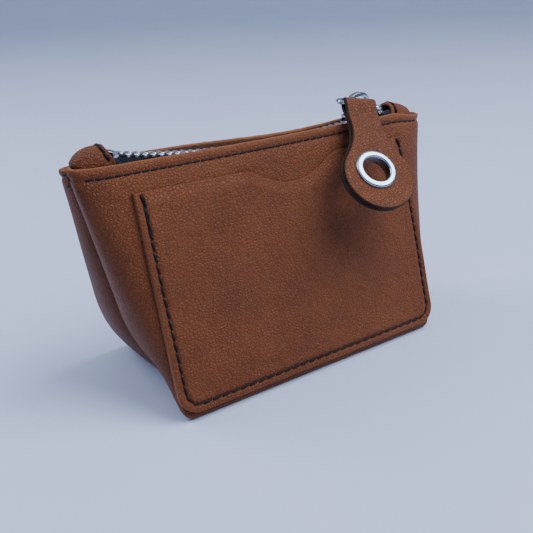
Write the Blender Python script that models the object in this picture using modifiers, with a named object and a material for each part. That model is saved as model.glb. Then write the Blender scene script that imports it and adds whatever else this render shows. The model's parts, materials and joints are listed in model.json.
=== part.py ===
"""A zippered leather pouch with a card pocket, standing on its boxed base.

Units are metres. The origin is on the ground under the middle of the base. +X runs along the
pouch, to the right of someone who faces the card pocket, -Y is the front and +Z is up.
"""

import math

import bmesh
import bpy
import numpy as np
from mathutils import Matrix, Vector
from mathutils.geometry import interpolate_bezier

MM = 0.001
FRONT, BACK = -1, 1
GAP = 0.3 * MM  # left between pieces that touch

# Leather and thread
LEATHER = 1.3 * MM
THREAD_RADIUS = 0.3 * MM
HEM_DROP = 2.6 * MM  # hem stitches below the raw top edge
HEM_INSET = 2.5 * MM  # hem stitches stop this far before the widest place
SEAM_ALLOWANCE = 5.0 * MM

# Card pocket
CARD_LENGTH = 85.6 * MM
CARD_ROOM = 2.2 * MM  # between the card and the stitches, at each end
POCKET_MARGIN = 2.2 * MM  # leather outside the stitches
POCKET_THICKNESS = 1.2 * MM
POCKET_FOOT = 2.2 * MM  # height of its bottom edge
POCKET_HEAD = 6.8 * MM  # its top edge below the rim
POCKET_CORNER = 6.0 * MM
NOTCH_WIDTH = 28.0 * MM
NOTCH_DEPTH = 5.8 * MM
NOTCH_SHIFT = 3.8 * MM

# Body
RIM_HEIGHT = 67.0 * MM
BASE_HALF_DEPTH = 26.4 * MM
MOUTH_FLARE = 14.5 * MM  # how much further each end reaches at the mouth than at the base
RIM_CURL = 0.8 * MM  # how far the top of each panel curls in from its plane
END_FILLET = 3.0 * MM
FRONT_FILLET = 2.0 * MM
CREASE_DEPTH = 4.0 * MM
CREASE_RUNOUT = 10.0 * MM  # height over which the side crease fades out at the base
CREASE_AT_RIM = 0.3  # share of the crease's depth that is left at the mouth
TIGHTEST_CORNER = 1.6 * MM
BULGE_SHARE = 0.45  # where each end bulges furthest, as a share of the depth
ROUNDNESS = 0.6  # length of the curve handles, as a share of the span
RIM_RISE = 0.9 * MM  # front rim, towards its left end
RIM_DROOP = 2.2 * MM  # both rims, at their right end
BACK_SAG = 2.2 * MM
BACK_SAG_SHIFT = 15.0 * MM
BACK_SAG_SPREAD = 30.0 * MM

# Zipper chain, which hangs in an arc between the two ends of the mouth
CHAIN_RADIUS = 270.0 * MM
CHAIN_LOW_X = 6.0 * MM
CHAIN_LOW_DROP = 3.6 * MM  # its lowest point below the rim
TOOTH_PITCH = 2.42 * MM
TOOTH_THICKNESS = 0.9 * MM
TOOTH_HEIGHT = 2.4 * MM
TOOTH_REACH = 0.8 * MM  # past the middle, between the other row's teeth
TOOTH_ROOT = 2.7 * MM
BEAD_RADIUS = 0.6 * MM
BEAD_OFFSET = 1.75 * MM
TAPE_THICKNESS = 0.35 * MM
TAPE_DEPTH = 9.0 * MM  # how far the tape hangs below the rim
STOP_LENGTH = 2.0 * MM

# Slider
SLIDER_INSET = 23.0 * MM  # its middle from the right end of the mouth
SLIDER_LENGTH = 10.0 * MM
SLIDER_HALF_WIDTH = 4.0 * MM
SLIDER_PLATE = 0.9 * MM
SLIDER_ROOM = 0.4 * MM  # above and below the teeth
TAPE_SLOT = 1.1 * MM
POST_WIDTH = 1.1 * MM
POST_LENGTH = 2.4 * MM
POST_INSET = 0.5 * MM  # from the slider's leading edge
SLIDER_NOSE_RADIUS = 2.0 * MM
SLIDER_TAIL_RADIUS = 1.5 * MM
SLIDER_TAPER = 0.5 * MM  # each side, narrower at the tail
CROWN_LENGTH = 9.6 * MM
CROWN_RISE = 6.0 * MM
CROWN_WIDTH = 1.7 * MM
CROWN_THICKNESS = 1.1 * MM

# Pull: a D-ring through the crown and a folded leather fob on the ring's bar
RING_WIRE = 0.7 * MM
RING_HALF_WIDTH = 6.6 * MM
RING_DEPTH = 10.0 * MM
RING_CORNER = 1.2 * MM
RING_TILT = math.radians(-3.0)
PULL_YAW = math.radians(-26.0)
PULL_ROLL = math.radians(12.0)
FOB_DROP = math.radians(43.0)
BAR_FROM_SLIDER = Vector((-6.4, -6.9, 6.5)) * MM
RING_SEAT = Vector((0.3, 0.0, 5.6)) * MM  # where the ring crosses under the crown
FOB_LAYER = 1.1 * MM
FOB_LAYER_GAP = 0.2 * MM
FOB_NECK_HALF_WIDTH = 5.1 * MM
FOB_HEAD_RADIUS = 11.1 * MM
FOB_HEAD_DISTANCE = 24.8 * MM  # bar to the middle of the round head
FOB_SHOULDER = 21.0 * MM
FOB_CLOSES = 4.5 * MM  # bar to where the two layers lie together
EYELET_DISTANCE = 23.8 * MM
EYELET_RADIUS = 6.3 * MM
EYELET_BORE = 4.2 * MM
EYELET_BARREL = 0.45 * MM
EYELET_FLANGE = 0.6 * MM

# End tabs over the ends of the zipper
TAB_LENGTH = 11.0 * MM
TAB_LEATHER = 1.1 * MM
TAB_RISE = 5.2 * MM
TAB_DEPTH = 5.0 * MM
TAB_STITCH_SHARE = 0.86  # where its stitches cross, from its outer end (0) to its open edge (1)

POCKET_HALF_WIDTH = CARD_LENGTH / 2 + CARD_ROOM + POCKET_MARGIN
BASE_HALF_LENGTH = POCKET_HALF_WIDTH - 0.7 * MM
MOUTH_HALF_DEPTH = SLIDER_HALF_WIDTH + 1.5 * GAP + TAPE_THICKNESS + 1.05 * LEATHER
MOUTH_HALF_LENGTH = BASE_HALF_LENGTH + MOUTH_FLARE
FLAT_HALF_LENGTH = POCKET_HALF_WIDTH - 1.0 * MM
LEAN_SLOPE = (BASE_HALF_DEPTH - MOUTH_HALF_DEPTH - RIM_CURL) / RIM_HEIGHT
LEAN = math.atan(LEAN_SLOPE)
CURL_START = RIM_HEIGHT - POCKET_HEAD + 0.3 * MM
CHAIN_LOW_Z = RIM_HEIGHT - CHAIN_LOW_DROP
SLIDER_X = MOUTH_HALF_LENGTH - SLIDER_INSET
SLIDER_HALF_HEIGHT = TOOTH_HEIGHT / 2 + SLIDER_ROOM + SLIDER_PLATE
TAB_INNER_X = MOUTH_HALF_LENGTH - TAB_LENGTH

PARTS = None
CUTTERS = None


def start_scene():
    """Empty the scene and make the collections for the parts and for the cutters."""
    global PARTS, CUTTERS
    for obj in list(bpy.data.objects):
        bpy.data.objects.remove(obj, do_unlink=True)
    PARTS = bpy.data.collections.new("zippered_pouch")
    CUTTERS = bpy.data.collections.new("cutters")
    bpy.context.scene.collection.children.link(PARTS)
    bpy.context.scene.collection.children.link(CUTTERS)


def make_material(name, colour, roughness, metallic=0.0):
    material = bpy.data.materials.new(name)
    material.use_nodes = True
    shader = material.node_tree.nodes["Principled BSDF"]
    shader.inputs["Base Color"].default_value = (*colour, 1.0)
    shader.inputs["Roughness"].default_value = roughness
    shader.inputs["Metallic"].default_value = metallic
    return material


def add_object(name, data, colour, roughness, metallic=0.0):
    """A part with a material of its own, linked to the parts collection."""
    data.materials.append(make_material(name, colour, roughness, metallic))
    obj = bpy.data.objects.new(name, data)
    PARTS.objects.link(obj)
    return obj


def add_cutter(name, data):
    obj = bpy.data.objects.new(name, data)
    obj.hide_render = True
    obj.display_type = "WIRE"
    CUTTERS.objects.link(obj)
    return obj


LEATHER_LOOK = ((0.29, 0.115, 0.055), 0.55)
THREAD_LOOK = ((0.012, 0.012, 0.014), 0.7)
TAPE_LOOK = ((0.008, 0.010, 0.020), 0.85)
STEEL_LOOK = ((0.75, 0.75, 0.77), 0.2, 1.0)


def smooth_step(value):
    value = min(max(value, 0.0), 1.0)
    return value * value * (3.0 - 2.0 * value)


# ---------------------------------------------------------------- the shape of the body


def rim_height(x, side):
    """Height of a panel's raw top edge."""
    end_share = (x / MOUTH_HALF_LENGTH - 0.75) / 0.25
    height = RIM_HEIGHT - RIM_DROOP * smooth_step(end_share)
    if side == FRONT:
        return height + RIM_RISE * smooth_step(-x / MOUTH_HALF_LENGTH)
    return height - BACK_SAG * math.exp(-(((x - BACK_SAG_SHIFT) / BACK_SAG_SPREAD) ** 2))


def lifted(x, z, side):
    """The height z of the plain form, moved so that the top edge follows the rim."""
    share = smooth_step((z - CURL_START) / (RIM_HEIGHT - CURL_START))
    return z + share * (rim_height(x, side) - RIM_HEIGHT)


def edge_inset(z, radius):
    """How far in from its wall a rounded bottom edge is at this height."""
    if z >= radius:
        return 0.0
    return radius - math.sqrt(radius**2 - (radius - z) ** 2)


def half_length(z):
    return BASE_HALF_LENGTH + MOUTH_FLARE * z / RIM_HEIGHT - edge_inset(z, END_FILLET)


def half_depth(z):
    curl = RIM_CURL * smooth_step((z - CURL_START) / (RIM_HEIGHT - CURL_START))
    return BASE_HALF_DEPTH - LEAN_SLOPE * z - curl - edge_inset(z, FRONT_FILLET)


def crease_depth(z):
    """How far the side seam is pulled in between the two bulges of the end."""
    fade = 1.0 - (1.0 - CREASE_AT_RIM) * smooth_step((z - RIM_HEIGHT * 0.6) / (RIM_HEIGHT * 0.4))
    return CREASE_DEPTH * smooth_step(z / CREASE_RUNOUT) * fade


def half_section(z, front_steps=6, corner_steps=7, end_steps=6):
    """Outer face at height z, from the middle of the front round the right end to the side seam."""
    length, depth = half_length(z), half_depth(z)
    crease = crease_depth(z)
    flat = min(FLAT_HALF_LENGTH, length - TIGHTEST_CORNER)
    corner = Vector((flat, -depth))
    bulge = Vector((length, -BULGE_SHARE * depth))
    seam = Vector((length - crease, -GAP / 2))
    across = Vector(((length - flat) * ROUNDNESS, 0.0))
    round_front = Vector((0.0, (bulge.y + depth) * ROUNDNESS))
    round_back = Vector((0.0, -bulge.y * ROUNDNESS))
    inwards = Vector((crease * ROUNDNESS, 0.0))
    front = [Vector((flat * i / front_steps, -depth)) for i in range(front_steps)]
    turn = interpolate_bezier(corner, corner + across, bulge - round_front, bulge, corner_steps)
    end = interpolate_bezier(bulge, bulge + round_back, seam + inwards, seam, end_steps)
    return [Vector(p[:2]) for p in front + list(turn) + list(end)[1:]]


def full_section(z):
    """Outer face of the whole front at height z, from the left side seam to the right one."""
    right = half_section(z)
    left = [Vector((-p.x, p.y)) for p in reversed(right[1:])]
    return left + right


def before_bulge(points):
    """The part of a half section up to where it reaches furthest along the pouch."""
    widest = max(range(len(points)), key=lambda i: points[i].x)
    return points[: widest + 1]


def outer_depth(x, z):
    """How far the panel's outer face stands from the middle plane at this place."""
    ahead = before_bulge(half_section(z, corner_steps=20))
    return float(np.interp(abs(x), [p.x for p in ahead], [-p.y for p in ahead]))


def inner_depth(x, z):
    """The same for the inner face, measured across the thickness of a wall that slopes both ways."""
    step = 0.5 * MM
    slope = (outer_depth(x, z) - outer_depth(abs(x) + step, z)) / step
    return outer_depth(x, z) - LEATHER * math.sqrt(1.0 + slope**2 + LEAN_SLOPE**2)


def panel(name, side):
    """Half of the body: one wall, its share of both ends and of the base, and its seam allowances."""
    levels = [0.0, 0.25, 0.8, 1.6, 3.0, 6.5, 12.0]
    straight = CURL_START - levels[-1] * MM
    heights = [level * MM for level in levels]
    heights += [heights[-1] + straight * share for share in (0.206, 0.454, 0.701, 0.876, 1.0)]
    heights += [CURL_START + 2.5 * MM, RIM_HEIGHT - HEM_DROP, RIM_HEIGHT]
    mesh = bmesh.new()
    rows, fins = [], []
    for z in heights:
        section = full_section(z)
        rows.append([mesh.verts.new((p.x, -side * p.y, lifted(p.x, z, side))) for p in section])
        if z < CREASE_RUNOUT * 0.6 or z > CURL_START:
            fins.append(None)
            continue
        pair = []
        for p in (section[0], section[-1]):
            x = p.x - math.copysign(SEAM_ALLOWANCE, p.x)
            pair.append(mesh.verts.new((x, -side * p.y, lifted(p.x, z, side))))
        fins.append(pair)
    for low, high, low_fin, high_fin in zip(rows, rows[1:], fins, fins[1:]):
        for i in range(len(low) - 1):
            mesh.faces.new((low[i], low[i + 1], high[i + 1], high[i]))
        if low_fin and high_fin:
            mesh.faces.new((low_fin[0], low[0], high[0], high_fin[0]))
            mesh.faces.new((low[-1], low_fin[1], high_fin[1], high[-1]))
    add_base(mesh, rows[0], side)
    if side == BACK:
        bmesh.ops.reverse_faces(mesh, faces=mesh.faces[:])
    data = bpy.data.meshes.new(name)
    mesh.to_mesh(data)
    mesh.free()
    obj = add_object(name, data, *LEATHER_LOOK)
    solidify(obj, LEATHER)
    return obj


def add_base(mesh, edge, side):
    """The half of the base that belongs to this panel, with its seam allowance turned up inside."""
    reach = half_length(0.0) - CREASE_DEPTH - SEAM_ALLOWANCE
    y = side * GAP / 2
    right, left = mesh.verts.new((reach, y, 0.0)), mesh.verts.new((-reach, y, 0.0))
    mesh.faces.new([*reversed(edge), left, right])
    right_top = mesh.verts.new((reach, y, SEAM_ALLOWANCE))
    left_top = mesh.verts.new((-reach, y, SEAM_ALLOWANCE))
    mesh.faces.new((left, left_top, right_top, right))


def solidify(obj, thickness, offset=-1.0):
    modifier = obj.modifiers.new("thickness", "SOLIDIFY")
    modifier.thickness = thickness
    modifier.offset = offset
    modifier.use_even_offset = True
    modifier.use_quality_normals = True


# ---------------------------------------------------------------- shared shape tools


def tube(name, points, radius, look, cyclic=False):
    """A round wire or thread through these points."""
    curve = bpy.data.curves.new(name, "CURVE")
    curve.dimensions = "3D"
    curve.bevel_depth = radius
    curve.bevel_resolution = 1
    curve.use_fill_caps = not cyclic
    spline = curve.splines.new("POLY")
    spline.points.add(len(points) - 1)
    spline.use_cyclic_u = cyclic
    for point, place in zip(spline.points, points):
        point.co = (*place, 1.0)
    return add_object(name, curve, *look)


def plate_curve(name, outline, half_thickness):
    """A flat plate in the XY plane with this outline."""
    curve = bpy.data.curves.new(name, "CURVE")
    curve.dimensions = "2D"
    curve.fill_mode = "BOTH"
    curve.extrude = half_thickness
    spline = curve.splines.new("POLY")
    spline.points.add(len(outline) - 1)
    spline.use_cyclic_u = True
    for point, (x, y) in zip(spline.points, outline):
        point.co = (x, y, 0.0, 1.0)
    return curve


def mesh_of(curve):
    """The curve's shape as a closed mesh, so that it can be cut."""
    guide = bpy.data.objects.new("guide", curve)
    bpy.context.scene.collection.objects.link(guide)
    bpy.context.view_layer.update()
    evaluated = guide.evaluated_get(bpy.context.evaluated_depsgraph_get())
    data = bpy.data.meshes.new_from_object(evaluated)
    bpy.data.objects.remove(guide, do_unlink=True)
    mesh = bmesh.new()
    mesh.from_mesh(data)
    bmesh.ops.remove_doubles(mesh, verts=mesh.verts[:], dist=0.001 * MM)
    mesh.to_mesh(data)
    mesh.free()
    return data


def box_mesh(name, low, high):
    mesh = bmesh.new()
    middle = (Vector(low) + Vector(high)) / 2
    size = Vector(high) - Vector(low)
    bmesh.ops.create_cube(mesh, size=1.0, matrix=Matrix.Translation(middle) @ Matrix.Diagonal((*size, 1.0)))
    data = bpy.data.meshes.new(name)
    mesh.to_mesh(data)
    mesh.free()
    return data


def combine(obj, cutter, operation):
    modifier = obj.modifiers.new(operation.lower(), "BOOLEAN")
    modifier.object = cutter
    modifier.operation = operation
    modifier.solver = "EXACT"


def arc(centre, radius, start, stop, steps):
    """Points on a circle, from one angle to another, in degrees."""
    angles = np.radians(np.linspace(start, stop, steps))
    return [(centre[0] + radius * math.cos(a), centre[1] + radius * math.sin(a)) for a in angles]


# ---------------------------------------------------------------- card pocket


def pocket_frame():
    """Turns pocket drawing coordinates (x, up the slope, out of the face) into world ones."""
    foot = Vector((0.0, -BASE_HALF_DEPTH + LEAN_SLOPE * POCKET_FOOT, POCKET_FOOT))
    turn = Matrix.Rotation(math.radians(90.0) - LEAN, 4, "X")
    return Matrix.Translation(foot) @ turn


POCKET_HEIGHT = (RIM_HEIGHT - POCKET_HEAD - POCKET_FOOT) / math.cos(LEAN)


def card_pocket():
    """The pocket's leather: square at the slot, rounded at the base, with a scoop for the thumb."""
    wide, high, corner = POCKET_HALF_WIDTH, POCKET_HEIGHT, POCKET_CORNER
    scoop = (NOTCH_WIDTH**2 / 4 + NOTCH_DEPTH**2) / (2 * NOTCH_DEPTH)
    swing = math.degrees(math.asin(NOTCH_WIDTH / 2 / scoop))
    outline = arc((wide - corner, corner), corner, -90.0, 0.0, 6)
    outline += arc((wide - 1.0 * MM, high - 1.0 * MM), 1.0 * MM, 0.0, 90.0, 3)
    outline += arc((NOTCH_SHIFT, high - NOTCH_DEPTH + scoop), scoop, -90.0 + swing, -90.0 - swing, 9)
    outline += arc((1.0 * MM - wide, high - 1.0 * MM), 1.0 * MM, 90.0, 180.0, 3)
    outline += arc((corner - wide, corner), corner, 180.0, 270.0, 6)
    data = mesh_of(plate_curve("card_pocket", outline, POCKET_THICKNESS / 2))
    obj = add_object("card_pocket", data, *LEATHER_LOOK)
    obj.matrix_world = pocket_frame() @ Matrix.Translation((0.0, 0.0, GAP + POCKET_THICKNESS / 2))
    return obj


def pocket_thread():
    """One run of stitches down the left edge, along the bottom and up the right edge."""
    wide, high = POCKET_HALF_WIDTH - POCKET_MARGIN, POCKET_HEIGHT
    corner = POCKET_CORNER - POCKET_MARGIN
    path = [(-wide, high - THREAD_RADIUS)]
    path += arc((corner - wide, corner + POCKET_MARGIN), corner, 180.0, 270.0, 5)
    path += arc((wide - corner, corner + POCKET_MARGIN), corner, -90.0, 0.0, 5)
    path += [(wide, high - THREAD_RADIUS)]
    out = GAP + POCKET_THICKNESS + GAP + THREAD_RADIUS
    frame = pocket_frame()
    return tube("pocket_thread", [frame @ Vector((x, y, out)) for x, y in path], THREAD_RADIUS, THREAD_LOOK)


# ---------------------------------------------------------------- stitches in the body


def hem_thread(name, side):
    """The stitches under a panel's raw top edge, which hold the zipper tape."""
    right = before_bulge(half_section(RIM_HEIGHT - HEM_DROP))
    section = [Vector((-p.x, p.y)) for p in reversed(right[1:])] + right
    out = GAP + THREAD_RADIUS
    path = []
    for before, here, after in zip(section, section[1:], section[2:]):
        if abs(here.x) > right[-1].x - HEM_INSET:
            continue
        along = (after - before).normalized()
        place = here + Vector((along.y, -along.x)) * out
        path.append((place.x, -side * place.y, lifted(here.x, RIM_HEIGHT - HEM_DROP, side)))
    return tube(name, path, THREAD_RADIUS, THREAD_LOOK)


def seam_thread(name, end):
    """The stitches down a side seam, on the inner face of the front seam allowance."""
    inset = SEAM_ALLOWANCE / 2
    y = -(GAP / 2 + LEATHER + GAP + THREAD_RADIUS)
    path = []
    for z in np.linspace(CREASE_RUNOUT, RIM_HEIGHT - TAPE_DEPTH - 2.0 * MM, 7):
        x = half_length(z) - crease_depth(z) - inset
        path.append((end * x, y, z))
    return tube(name, path, THREAD_RADIUS, THREAD_LOOK)


def base_seam_thread():
    reach = half_length(0.0) - CREASE_DEPTH - SEAM_ALLOWANCE - 1.0 * MM
    y = -(GAP / 2 + LEATHER + GAP + THREAD_RADIUS)
    z = LEATHER + (SEAM_ALLOWANCE - LEATHER) / 2
    return tube("base_seam_thread", [(-reach, y, z), (reach, y, z)], THREAD_RADIUS, THREAD_LOOK)


# ---------------------------------------------------------------- zipper


def chain_frame(x):
    """A frame on the zipper's arc: X along the chain and Z towards the middle of the arc."""
    swing = math.asin((x - CHAIN_LOW_X) / CHAIN_RADIUS)
    middle = Matrix.Translation((CHAIN_LOW_X, 0.0, CHAIN_LOW_Z + CHAIN_RADIUS))
    return middle @ Matrix.Rotation(-swing, 4, "Y") @ Matrix.Translation((0.0, 0.0, -CHAIN_RADIUS))


def chain_height(x):
    return chain_frame(x).translation.z


LAST_TOOTH_X = SLIDER_X + 0.6 * MM
CHAIN_END_X = SLIDER_X + SLIDER_LENGTH / 2 + 1.2 * MM
CHAIN_START_X = -(TAB_INNER_X - 1.6 * MM - STOP_LENGTH)


def teeth_row(name, side):
    """A row of metal teeth with the cord that they are pressed onto."""
    count = int((LAST_TOOTH_X - CHAIN_START_X) / TOOTH_PITCH)
    first = LAST_TOOTH_X - (TOOTH_PITCH / 2 if side == BACK else 0.0)
    teeth = bmesh.new()
    middle = (TOOTH_ROOT - TOOTH_REACH) / 2 * side
    size = (TOOTH_THICKNESS, TOOTH_ROOT + TOOTH_REACH, TOOTH_HEIGHT, 1.0)
    for i in range(count):
        place = chain_frame(first - i * TOOTH_PITCH) @ Matrix.Translation((0.0, middle, 0.0))
        bmesh.ops.create_cube(teeth, size=1.0, matrix=place @ Matrix.Diagonal(size))
    teeth_data = bpy.data.meshes.new(name + "_teeth")
    teeth.to_mesh(teeth_data)
    teeth.free()
    cutter = add_cutter(name + "_teeth", teeth_data)
    points = []
    for x in np.linspace(CHAIN_START_X + GAP, CHAIN_END_X - GAP, 26):
        points.append(chain_frame(x) @ Vector((0.0, side * BEAD_OFFSET, 0.0)))
    cord = tube(name + "_cord", points, BEAD_RADIUS, STEEL_LOOK)
    data = mesh_of(cord.data)
    bpy.data.objects.remove(cord, do_unlink=True)
    obj = add_object(name, data, *STEEL_LOOK)
    combine(obj, cutter, "UNION")
    return obj


def zip_tape(name, side):
    """Woven tape: level beside the chain, then down the inside of the leather to the hem stitches."""
    reach = TAB_INNER_X - 1.4 * MM
    mesh = bmesh.new()
    columns = []
    for x in np.linspace(-reach, reach, 25):
        height, foot = chain_height(x), rim_height(x, side) - TAPE_DEPTH
        turn = inner_depth(x, RIM_HEIGHT) - GAP / 2 - TAPE_THICKNESS / 2
        run = [(TOOTH_ROOT + GAP, height), (turn, height), (turn, foot)]
        columns.append([mesh.verts.new((x, side * y, z)) for y, z in run])
    for left, right in zip(columns, columns[1:]):
        for i in range(len(left) - 1):
            mesh.faces.new((left[i], right[i], right[i + 1], left[i + 1]))
    data = bpy.data.meshes.new(name)
    mesh.to_mesh(data)
    mesh.free()
    obj = add_object(name, data, *TAPE_LOOK)
    solidify(obj, TAPE_THICKNESS, 0.0)
    return obj


def zip_stop(name, x, low_y, high_y):
    """A small pressed clip that stops the slider."""
    half = TOOTH_HEIGHT / 2
    data = box_mesh(name, (0.0, low_y, -half), (STOP_LENGTH, high_y, half))
    obj = add_object(name, data, *STEEL_LOOK)
    obj.matrix_world = chain_frame(x)
    bevel = obj.modifiers.new("bevel", "BEVEL")
    bevel.width = 0.25 * MM
    bevel.segments = 1
    return obj


def tab_place(share):
    """Distance from the middle of the pouch, from the tab's outer end (0) to its open edge (1)."""
    outer = MOUTH_HALF_LENGTH - crease_depth(RIM_HEIGHT) - LEATHER - 2 * GAP
    return outer + (TAB_INNER_X - outer) * share


def tab_crest(share):
    """Height of an end tab's fold above the rim, from its outer end (0) to its open edge (1)."""
    return TAB_RISE * math.sin(math.radians(90.0) * share) ** 0.6


def end_tab(name, end):
    """A scrap of leather folded over the end of the zipper: a ridge that runs down into the corner."""
    mesh = bmesh.new()
    rows = []
    for share in np.linspace(0.0, 1.0, 8):
        x = end * tab_place(share)
        rows.append([mesh.verts.new(p) for p in tab_section(x, share)])
    for low, high in zip(rows, rows[1:]):
        for i in range(len(low) - 1):
            quad = (low[i], low[i + 1], high[i + 1], high[i])
            mesh.faces.new(quad if end > 0 else quad[::-1])
    data = bpy.data.meshes.new(name)
    mesh.to_mesh(data)
    mesh.free()
    obj = add_object(name, data, *LEATHER_LOOK)
    solidify(obj, TAB_LEATHER)
    return obj


def tab_section(x, share, out=0.0):
    """The tab's outer face across the mouth: up from inside the front, over and down the back."""
    rim = min(rim_height(x, FRONT), rim_height(x, BACK))
    foot = rim - TAB_DEPTH
    wide = min(inner_depth(x, rim), inner_depth(x, foot)) - GAP + out
    crest = rim + tab_crest(share) + out
    spring = max(crest - 1.3 * wide, rim - 2.0 * MM)
    points = [Vector((x, -wide, foot))]
    for angle in np.radians(np.linspace(180.0, 0.0, 9)):
        points.append(Vector((x, wide * math.cos(angle), spring + (crest - spring) * math.sin(angle))))
    points.append(Vector((x, wide, foot)))
    return points


def tab_thread(name, end):
    """The row of stitches across an end tab, just inside its open edge."""
    x = end * tab_place(TAB_STITCH_SHARE)
    lowest = rim_height(x, FRONT) + 2 * THREAD_RADIUS
    over = tab_section(x, TAB_STITCH_SHARE, GAP + THREAD_RADIUS)
    return tube(name, [p for p in over if p.z > lowest], THREAD_RADIUS, THREAD_LOOK)


# ---------------------------------------------------------------- slider and pull


def slider_outline():
    """Plan of the slider, a little wider at the end where the rows part."""
    long, wide = SLIDER_LENGTH / 2, SLIDER_HALF_WIDTH
    nose, tail, waist = SLIDER_NOSE_RADIUS, SLIDER_TAIL_RADIUS, wide - SLIDER_TAPER
    outline = arc((long - nose, wide - nose), nose, 0.0, 90.0, 5)
    outline += arc((tail - long, waist - tail), tail, 90.0, 180.0, 4)
    return outline + [(x, -y) for x, y in reversed(outline)]


def slider_body():
    data = mesh_of(plate_curve("slider_body", slider_outline(), SLIDER_HALF_HEIGHT))
    obj = add_object("slider_body", data, *STEEL_LOOK)
    long, half = SLIDER_LENGTH, SLIDER_HALF_HEIGHT - SLIDER_PLATE
    wide = TOOTH_ROOT + GAP
    channel = box_mesh("channel", (-long, -wide, -half), (long, wide, half))
    slot_half = TAPE_SLOT / 2
    slot = box_mesh("tape_slot", (-long, -long, -slot_half), (long, long, slot_half))
    nose, into_plates = long / 2 - POST_INSET, half + SLIDER_PLATE / 2
    post_low = (nose - POST_LENGTH, -POST_WIDTH / 2, -into_plates)
    post = box_mesh("post", post_low, (nose, POST_WIDTH / 2, into_plates))
    for tool, operation in ((channel, "DIFFERENCE"), (slot, "DIFFERENCE"), (post, "UNION")):
        cutter = add_cutter("slider_" + tool.name, tool)
        cutter.matrix_world = chain_frame(SLIDER_X)
        combine(obj, cutter, operation)
    obj.matrix_world = chain_frame(SLIDER_X)
    return obj


def slider_crown():
    """The arched keeper on the slider's top plate, which holds the ring."""
    foot = SLIDER_HALF_HEIGHT + GAP
    outline = []
    for inset, turn in ((0.0, 1), (CROWN_THICKNESS, -1)):
        half, rise = CROWN_LENGTH / 2 - inset, CROWN_RISE - inset
        for angle in np.radians(np.linspace(0.0, 180.0, 15)[::turn]):
            c, s = math.cos(angle), math.sin(angle)
            outline.append((half * math.copysign(abs(c) ** 0.8, c), foot + rise * abs(s) ** 0.8))
    data = mesh_of(plate_curve("slider_crown", outline, CROWN_WIDTH / 2))
    obj = add_object("slider_crown", data, *STEEL_LOOK)
    obj.matrix_world = chain_frame(SLIDER_X) @ Matrix.Rotation(math.radians(90.0), 4, "X")
    return obj


def pull_frame(drop):
    """A frame on the ring's bar: X along the bar, and -Y down the fob at this drop angle."""
    place = Matrix.Translation(chain_frame(SLIDER_X).translation + BAR_FROM_SLIDER)
    hang = Matrix.Rotation(PULL_YAW, 4, "Z") @ Matrix.Rotation(FOB_DROP, 4, "X")
    lean = Matrix.Rotation(PULL_ROLL, 4, "Y") @ Matrix.Rotation(drop - FOB_DROP, 4, "X")
    return place @ hang @ lean


def pull_ring():
    """A D-ring: a straight bar at the front and an arch that passes under the crown."""
    wide, corner = RING_HALF_WIDTH, RING_CORNER
    path = [(wide - corner, 0.0)] + arc((wide - corner, corner), corner, -60.0, 0.0, 3)
    for angle in np.radians(np.linspace(12.0, 168.0, 19)):
        path.append((wide * math.cos(angle), corner + (RING_DEPTH - corner) * math.sin(angle)))
    path += arc((corner - wide, corner), corner, 180.0, 240.0, 3) + [(corner - wide, 0.0)]
    ring = tube("pull_ring", [(x, y, 0.0) for x, y in path], RING_WIRE, STEEL_LOOK, cyclic=True)
    ring.matrix_world = pull_frame(RING_TILT)
    return ring


def keyhole_outline():
    """Plan of the fob: a straight neck that flares with a concave shoulder into a round head."""
    neck, head, shoulder = FOB_NECK_HALF_WIDTH, FOB_HEAD_RADIUS, FOB_SHOULDER
    reach = math.sqrt((head + shoulder) ** 2 - (neck + shoulder) ** 2)
    meet = math.degrees(math.atan2(reach, neck + shoulder))
    middle = -FOB_HEAD_DISTANCE
    half = [(neck, FOB_CLOSES)]
    half += arc((neck + shoulder, middle + reach), shoulder, 180.0, 180.0 + meet, 6)
    half += arc((0.0, middle), head, meet, -90.0, 13)[1:]
    return half + [(-x, y) for x, y in reversed(half[:-1])]


def fob_strap():
    """One strip of leather folded round the ring's bar, with both layers cut to the same outline."""
    inner = RING_WIRE + GAP
    outer = inner + FOB_LAYER
    low, high = FOB_LAYER_GAP / 2, FOB_LAYER_GAP / 2 + FOB_LAYER
    tail = -(FOB_HEAD_DISTANCE + FOB_HEAD_RADIUS + 1.0 * MM)
    profile = arc((0.0, 0.0), outer, -90.0, 90.0, 11) + [(-FOB_CLOSES, high), (tail, high), (tail, low)]
    profile += [(-FOB_CLOSES, low)] + arc((0.0, 0.0), inner, 90.0, -90.0, 9)
    profile += [(-FOB_CLOSES, -low), (tail, -low), (tail, -high), (-FOB_CLOSES, -high)]
    data = mesh_of(plate_curve("fob_strap", profile, FOB_HEAD_RADIUS + 1.0 * MM))
    upright = Matrix.Rotation(math.radians(90.0), 4, "Z") @ Matrix.Rotation(math.radians(90.0), 4, "X")
    data.transform(upright)
    obj = add_object("fob_strap", data, *LEATHER_LOOK)
    plan = add_cutter("fob_plan", mesh_of(plate_curve("fob_plan", keyhole_outline(), outer + 1.0 * MM)))
    hole = arc((0.0, -EYELET_DISTANCE), EYELET_BORE + EYELET_BARREL + GAP, 0.0, 345.0, 24)
    punch = add_cutter("fob_punch", mesh_of(plate_curve("fob_punch", hole, outer + 1.0 * MM)))
    frame = pull_frame(FOB_DROP)
    for cutter, operation in ((plan, "INTERSECT"), (punch, "DIFFERENCE")):
        cutter.matrix_world = frame
        combine(obj, cutter, operation)
    obj.matrix_world = frame
    return obj


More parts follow.
